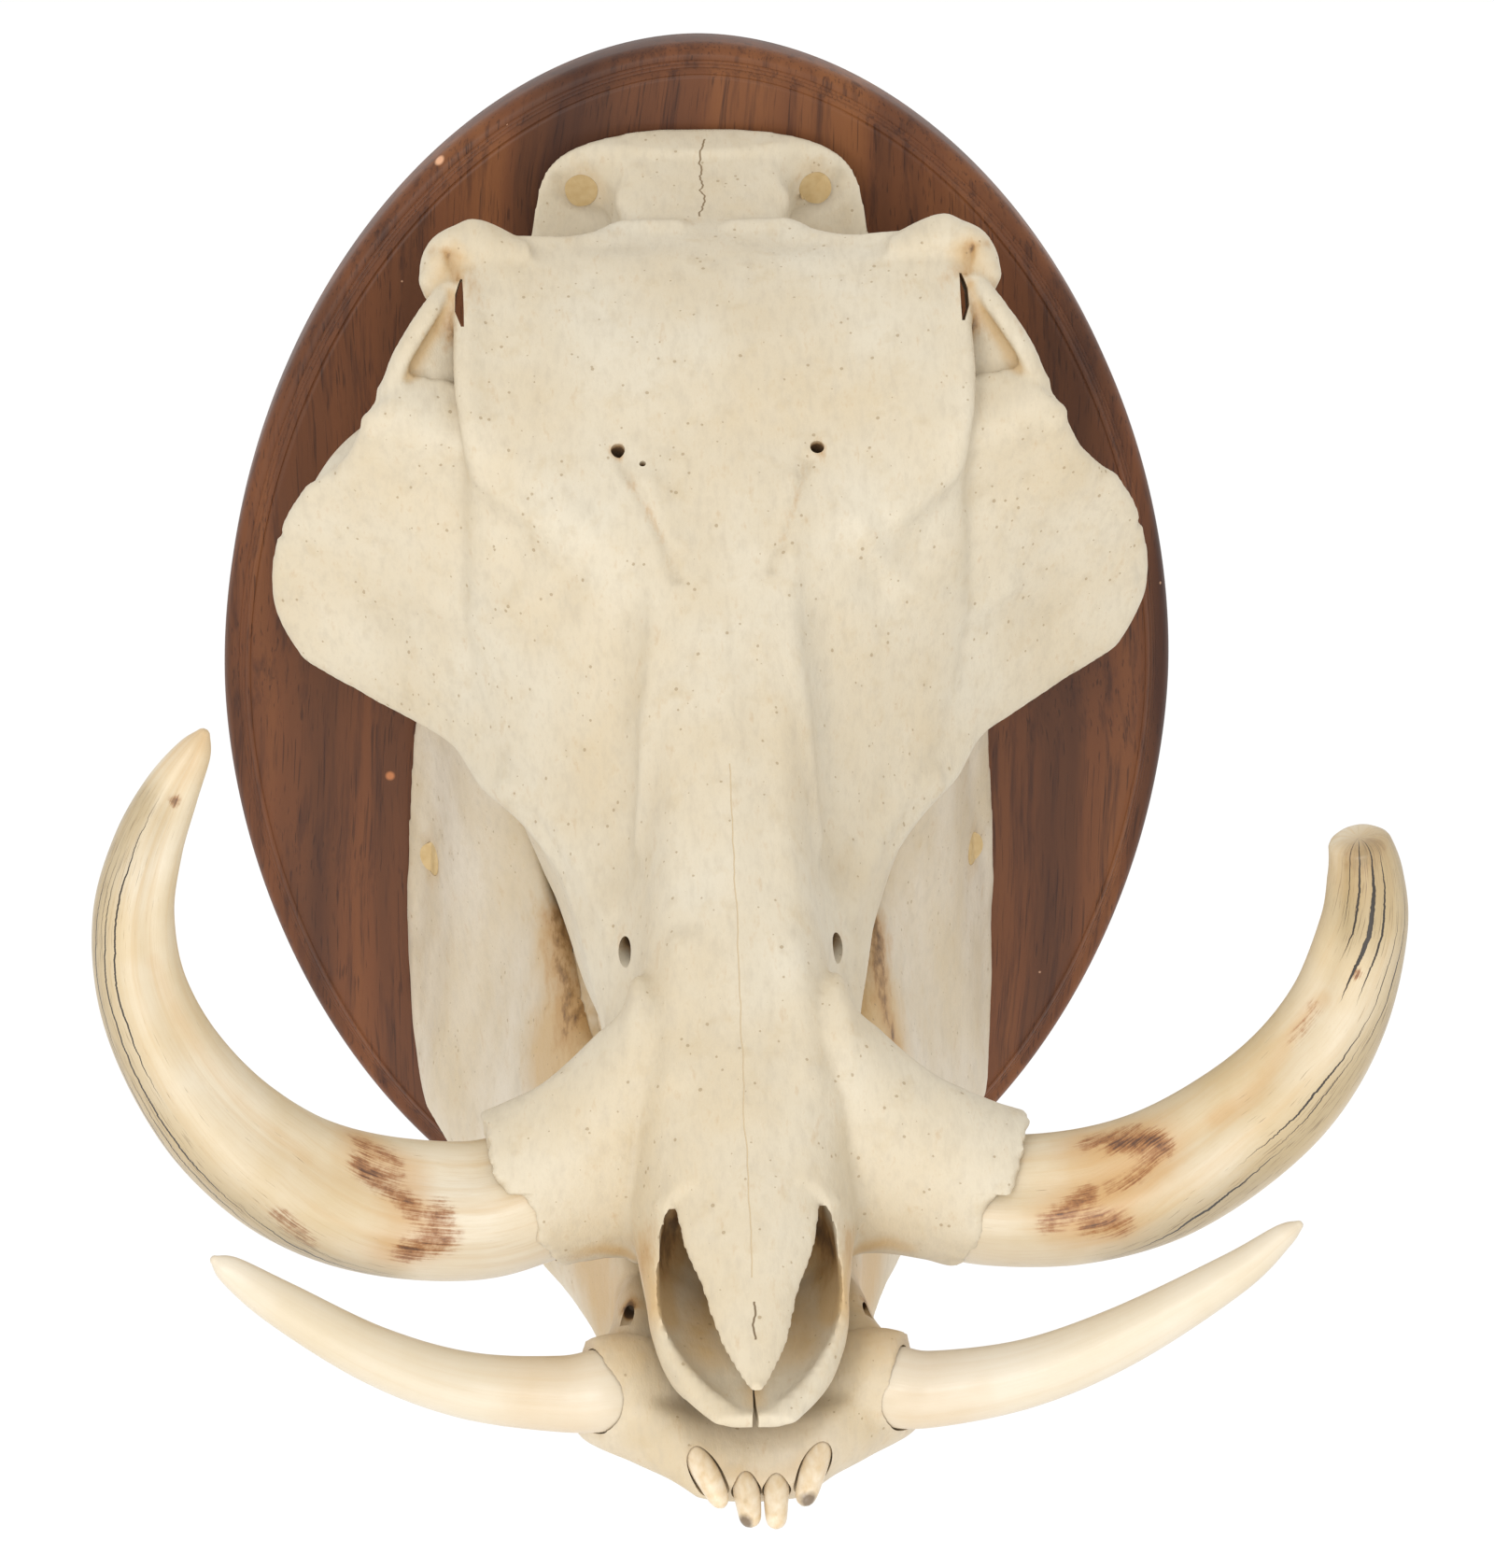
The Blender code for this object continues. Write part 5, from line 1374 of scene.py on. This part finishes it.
# Tooth enamel: hard and satin, stained towards the gum and browned at the worn ends.
def enamel_finish():
    made, nodes, shader = new_finish("tooth enamel", 0.32, 1.6)
    place = add(nodes, "TexCoord").outputs["Object"]
    along = add(nodes, "Mapping", {"Vector": place, "Rotation": (-SKULL_PITCH, 0, 0),
                                   "Scale": (1.0, 0.15, 1.0)})
    streaks = add(nodes, "TexNoise", {"Vector": along, "Scale": 520.0, "Detail": 4.0})
    clouds = add(nodes, "TexNoise", {"Vector": place, "Scale": 140.0, "Detail": 4.0})
    tint = add(nodes, "ValToRGB", {0: streaks}, [(0.30, "#DBCCB3"), (0.72, "#CBB28A")])
    mask = add(nodes, "MapRange", {"Value": clouds, "From Min": 0.55, "From Max": 0.75, "To Max": 0.3})
    tint = over(nodes, tint, "#B08C5C", mask)
    marks = add(nodes, "SeparateColor", {0: add(nodes, "Attribute", attribute_name=MARKS_AND_SHADE)})
    worn = add(nodes, "Math", {0: clouds, 1: 1.2, 2: -0.6}, operation="MULTIPLY_ADD")
    worn = add(nodes, "Math", {0: marks.outputs[1], 1: worn}, operation="ADD")
    worn = add(nodes, "MapRange", {"Value": worn, "From Min": 0.35, "From Max": 0.8, "To Max": 0.85})
    tint = over(nodes, tint, "#54402B", worn)
    bump = add(nodes, "Bump", {"Height": streaks, "Strength": 0.2, "Distance": 0.0004})
    link_up(shader, tint, bump.outputs[0])
    return made


# Walnut: straight grain up the board with dark streaks and open pores, under a satin varnish.
def walnut_finish():
    made, nodes, shader = new_finish("varnished walnut", 0.5, 1.5)
    shader.inputs["Specular IOR Level"].default_value = 0.2
    shader.inputs["Coat Weight"].default_value = 0.08
    shader.inputs["Coat Roughness"].default_value = 0.28
    place = add(nodes, "TexCoord").outputs["Object"]
    bent = add(nodes, "TexNoise", {"Vector": place, "Scale": 7.0, "Detail": 2.0})
    bent = add(nodes, "VectorMath", {0: bent.outputs["Color"], 1: (0.5, 0.5, 0.5)}, operation="SUBTRACT")
    bent = add(nodes, "VectorMath", {0: bent, "Scale": 0.03}, operation="SCALE")
    bent = add(nodes, "VectorMath", {0: place, 1: bent}, operation="ADD")
    long_grain = add(nodes, "Mapping", {"Vector": bent, "Scale": (1.0, 1.0, 0.05)})
    short_grain = add(nodes, "Mapping", {"Vector": bent, "Scale": (1.0, 1.0, 0.022)})
    bands = add(nodes, "TexNoise", {"Vector": long_grain, "Scale": 34.0, "Detail": 3.0, "Roughness": 0.55})
    lines = add(nodes, "TexNoise", {"Vector": long_grain, "Scale": 300.0, "Detail": 4.0, "Roughness": 0.7})
    pores = add(nodes, "TexNoise", {"Vector": short_grain, "Scale": 1500.0, "Detail": 2.0})
    shades = [(0.30, "#402417"), (0.70, "#7A4B29"), (0.44, "#55321D"), (0.56, "#663C22")]
    tint = add(nodes, "ValToRGB", {0: bands}, shades)
    line = add(nodes, "MapRange", {"Value": lines, "From Min": 0.5, "From Max": 0.68, "To Max": 0.7})
    tint = over(nodes, tint, "#3A2117", line)
    pore = add(nodes, "MapRange", {"Value": pores, "From Min": 0.60, "From Max": 0.68, "To Max": 0.55})
    tint = over(nodes, tint, "#2A160D", pore)
    inset = add(nodes, "Attribute", attribute_name="inset").outputs["Fac"]
    rim = add(nodes, "MapRange", {"Value": inset, "From Min": 0.80, "From Max": 0.70, "To Max": 0.55})
    tint = over(nodes, tint, "#4E3024", rim)
    # Pale line along the bead 7.6 mm in: a painted highlight, broken along the grain as rubbed wear.
    edge = add(nodes, "Math", {0: inset, 1: 0.76}, operation="SUBTRACT")
    edge = add(nodes, "Math", {0: edge}, operation="ABSOLUTE")
    edge = add(nodes, "MapRange", {"Value": edge, "From Min": 0.03, "From Max": 0.01})
    highlight_wear = add(nodes, "MapRange", {"Value": lines, "From Min": 0.42, "From Max": 0.55, "To Max": 0.55})
    edge = add(nodes, "Math", {0: edge, 1: highlight_wear}, operation="MULTIPLY")
    tint = over(nodes, tint, "#B08064", edge)
    dust_place = add(nodes, "TexVoronoi", {"Vector": place, "Scale": 95.0})
    dust_size = add(nodes, "TexNoise", {"Vector": place, "Scale": 22.0, "Detail": 1.0})
    dust_size = add(nodes, "MapRange", {"Value": dust_size, "From Min": 0.42, "From Max": 0.72,
                                        "To Max": 0.06})
    dust = add(nodes, "Math", {0: dust_place.outputs["Distance"], 1: dust_size}, operation="LESS_THAN")
    dust = add(nodes, "Math", {0: dust, 1: 0.6}, operation="MULTIPLY")
    tint = over(nodes, tint, "#C49A7C", dust)
    for x, y, z, radius, shade in WOOD_SPOTS:
        away = add(nodes, "VectorMath", {0: place, 1: (x * MM, y * MM, z * MM)}, operation="DISTANCE")
        away = add(nodes, "Math", {0: bands, 1: 0.002, 2: away.outputs["Value"]}, operation="MULTIPLY_ADD")
        rim = radius * MM
        spot = add(nodes, "MapRange", {"Value": away, "From Min": rim + 0.0012, "From Max": rim + 0.0004})
        tint = over(nodes, tint, shade, spot)
    height = add(nodes, "Math", {0: pore, 1: -0.7, 2: lines}, operation="MULTIPLY_ADD")
    bump = add(nodes, "Bump", {"Height": height, "Strength": 0.12, "Distance": 0.0004})
    link_up(shader, tint, bump.outputs[0])
    return made


# Filler: tan knifing paste rubbed flush with the bone, matt with fine grit.
def filler_finish():
    made, nodes, shader = new_finish("tan bone filler", 0.75, 1.5)
    place = add(nodes, "TexCoord").outputs["Object"]
    grit = add(nodes, "TexNoise", {"Vector": place, "Scale": 400.0, "Detail": 5.0})
    tint = add(nodes, "ValToRGB", {0: grit}, [(0.3, "#BEA578"), (0.7, "#B29665")])
    bump = add(nodes, "Bump", {"Height": grit, "Strength": 0.15, "Distance": 0.0003})
    link_up(shader, tint.outputs[0], bump.outputs[0])
    return made


# Zinc-plated steel: dull grey with a fine turned grain.
def steel_finish():
    made, nodes, shader = new_finish("zinc plated steel", 0.38)
    shader.inputs["Metallic"].default_value = 1.0
    place = add(nodes, "TexCoord").outputs["Object"]
    grain = add(nodes, "TexNoise", {"Vector": place, "Scale": 900.0, "Detail": 3.0})
    tint = add(nodes, "ValToRGB", {0: grain}, [(0.3, "#A9A9A6"), (0.7, "#8D8D8B")])
    link_up(shader, tint.outputs[0])
    return made


# Floor: matt white paint, so that it gives no gloss back.
def painted_floor():
    made, nodes, shader = new_finish("matt white floor", 0.9)
    shader.inputs["Base Color"].default_value = colour("#FAFAFA")
    shader.inputs["Specular IOR Level"].default_value = 0.0
    return made


# Puts a finished piece in the place of the named nodes of the frame.
def put(item, slot, *nodes):
    smooth_shading(item)
    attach(item, "root")
    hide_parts(*nodes)


# Bones and the teeth and plugs in them. Gives back the ways of the screws, for the board.
def dress_bones():
    skull = build_cranium(bone_finish("dry bleached skull bone", "#C9BFAA", "#C3B498", SKULL_LINES))
    jaw = build_mandible(bone_finish("dry bleached jaw bone", "#CBBFAB", "#BFAE90", []))
    upper_tusks = (UPPER_TUSK_LEFT, UPPER_TUSK_RIGHT)
    lower_tusks = (LOWER_TUSK_LEFT, LOWER_TUSK_RIGHT)
    skull_tools = [socket(path, sides=48, kept=0.50, flare=0.7) for path in upper_tusks]
    jaw_tools = [socket(path, sides=48, kept=0.42, flare=0.5) for path in lower_tusks]
    jaw_tools += [socket(path, sides=32, kept=1.0, flare=0.6) for path in INCISORS.values()]
    enamel = enamel_finish()
    filler = filler_finish()
    for side, label in SIDES:
        upper = (on_side(UPPER_MOLARS[0], side), UPPER_MOLARS[1])
        lower = (on_side(LOWER_MOLARS[0], side), LOWER_MOLARS[1])
        for name, (centre, size), is_upper, tools in ((f"upper_molar_{label}", upper, True, skull_tools),
                                                      (f"lower_molar_{label}", lower, False, jaw_tools)):
            tooth = build_molar(name + "_enamel", centre, size, is_upper, enamel)
            put(tooth, "enamel", name)
            tools.append(build_molar("socket", centre, np.array(size) + 2 * TOOTH_GAP, is_upper, None))
        for place, direction, radius, depth in HOLES:
            skull_tools.append(straight_hole(on_side(place, side), on_side(direction, side), radius, depth))
        skull_tools.append(orbit_slit(side))
    skull_tools += [straight_hole(*hole) for hole in SMALL_SKULL_HOLES] + [lip_notch()]
    jaw_tools += [straight_hole(*hole) for hole in SMALL_JAW_HOLES]
    ways = []
    for kind, bone_item, tools, direction in (("skull", skull, skull_tools, (0.0, 1.0, 0.0)),
                                              ("jaw", jaw, jaw_tools, (-0.45, 0.89, 0.0))):
        for side, label in SIDES:
            screw = f"screw_{kind}_{label}"
            aim = np.array(direction) * (side, 1, 1)
            name = f"plug_{kind}_{label}"
            plug, bore, head, aim = build_plug(name + "_filler", bone_item, screw, aim, side * 3.0, filler)
            put(plug, "filler", name)
            tools += [bore, screw_way(head, aim)]
            ways.append(screw_way(head, aim))
    cut(skull, skull_tools)
    cut(jaw, jaw_tools)
    paint(skull, CRANIUM_MARKS + [hole_shade_mark(*hole, BOTH) for hole in HOLES]
          + [hole_shade_mark(*hole, RIGHT) for hole in SMALL_SKULL_HOLES])
    paint(jaw, MANDIBLE_MARKS + [hole_shade_mark(*hole, RIGHT) for hole in SMALL_JAW_HOLES])
    put(skull, "bone", "cranium")
    put(jaw, "bone", "mandible")
    for name, path in INCISORS.items():
        tooth = build_incisor(name + "_enamel", path, enamel)
        paint(tooth, INCISOR_MARKS)
        put(tooth, "enamel", name)
    return ways


def dress_tusks():
    left_ivory = ivory_finish("weathered left tusk ivory", "#D0C4AD", "#C5B18D", 0.36, LEFT_SPLITS)
    right_ivory = ivory_finish("weathered right tusk ivory", "#CDC0A8", "#BFAA84", 0.38, RIGHT_SPLITS)
    young_ivory = ivory_finish("smooth tusk ivory", "#D0C5B1", "#C8B99D", 0.34, [])
    upper_left = (left_ivory, LEFT_GROOVES, LEFT_TWIST, POINTED_TIP, UPPER_LEFT_MARKS)
    upper_right = (right_ivory, RIGHT_GROOVES, RIGHT_TWIST, BROKEN_TIP, UPPER_RIGHT_MARKS)
    lower = (young_ivory, LOWER_GROOVES, NO_TWIST, POINTED_TIP, LOWER_MARKS)
    for name, path, (finish, grooves, twist, tip, marks) in (
            ("upper_tusk_left", UPPER_TUSK_LEFT, upper_left),
            ("upper_tusk_right", UPPER_TUSK_RIGHT, upper_right),
            ("lower_tusk_left", LOWER_TUSK_LEFT, lower),
            ("lower_tusk_right", LOWER_TUSK_RIGHT, lower)):
        tusk = build_tusk(name + "_ivory", path, finish, 220, 96, grooves, twist, tip)
        paint(tusk, marks)
        put(tusk, "ivory", name)


def dress_board(ways):
    board = build_board(walnut_finish())
    cut(board, ways)
    put(board, "board_wood", "board")


# The screws keep the frame's own meshes, and only get their finish.
def dress_screws():
    steel = steel_finish()
    for name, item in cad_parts.items():
        if name.startswith("screw_"):
            item.data.materials[0] = steel


def add_light(name, place, size, power, tint):
    data = bpy.data.lights.new(name, "AREA")
    data.size = size
    data.energy = power
    data.color = colour(tint)[:3]
    light = bpy.data.objects.new(name, data)
    light.location = place
    light.rotation_euler = (Vector(place) - Vector(LIGHT_AIM)).to_track_quat("Z", "Y").to_euler()
    bpy.context.scene.collection.objects.link(light)


# White surroundings, with a key light from the left, and weaker ones from the front and from below.
def light_studio():
    world = bpy.data.worlds.new("studio")
    world.use_nodes = True
    world.node_tree.nodes["Background"].inputs["Color"].default_value = colour("#FFFFFF")
    world.node_tree.nodes["Background"].inputs["Strength"].default_value = 1.06
    bpy.context.scene.world = world
    bpy.context.scene.view_settings.view_transform = "Standard"
    add_light("key", (-0.9, -2.0, 0.4), 0.7, 11.0, "#FFFDFA")
    add_light("front", (0.05, -2.0, 0.75), 0.4, 6.0, "#FFFFFF")
    add_light("low", (0.1, -1.7, -0.55), 0.6, 3.0, "#FFFFFF")


def lay_floor():
    bm = bmesh.new()
    bmesh.ops.create_grid(bm, x_segments=1, y_segments=1, size=FLOOR_SIZE)
    for vert in bm.verts:
        vert.co.z = FLOOR_HEIGHT
    floor = new_object("floor", bm, painted_floor())


# Camera at the photo's angle and distance, with the photo's framing.
def aim_camera():
    level = math.cos(CAMERA_LIFT)
    back = Vector((math.sin(CAMERA_TURN) * level, -math.cos(CAMERA_TURN) * level, math.sin(CAMERA_LIFT)))
    data = bpy.data.cameras.new("camera")
    data.sensor_width = SENSOR_WIDTH
    data.lens = PIXELS_PER_UNIT * SENSOR_WIDTH / PICTURE_HEIGHT
    camera = bpy.data.objects.new("camera", data)
    turned = back.to_track_quat("Z", "Y")
    aside = Vector((PICTURE_WIDTH / 2 - AIM_PIXEL[0], AIM_PIXEL[1] - PICTURE_HEIGHT / 2, 0.0))
    aside /= PIXELS_PER_UNIT
    camera.location = Vector(CAMERA_AIM) + (back + turned @ aside) * CAMERA_DISTANCE
    camera.rotation_euler = turned.to_euler()
    bpy.context.scene.collection.objects.link(camera)
    bpy.context.scene.camera = camera


aim_camera()
light_studio()
lay_floor()
dress_screws()
screw_ways = dress_bones()
dress_tusks()
dress_board(screw_ways)
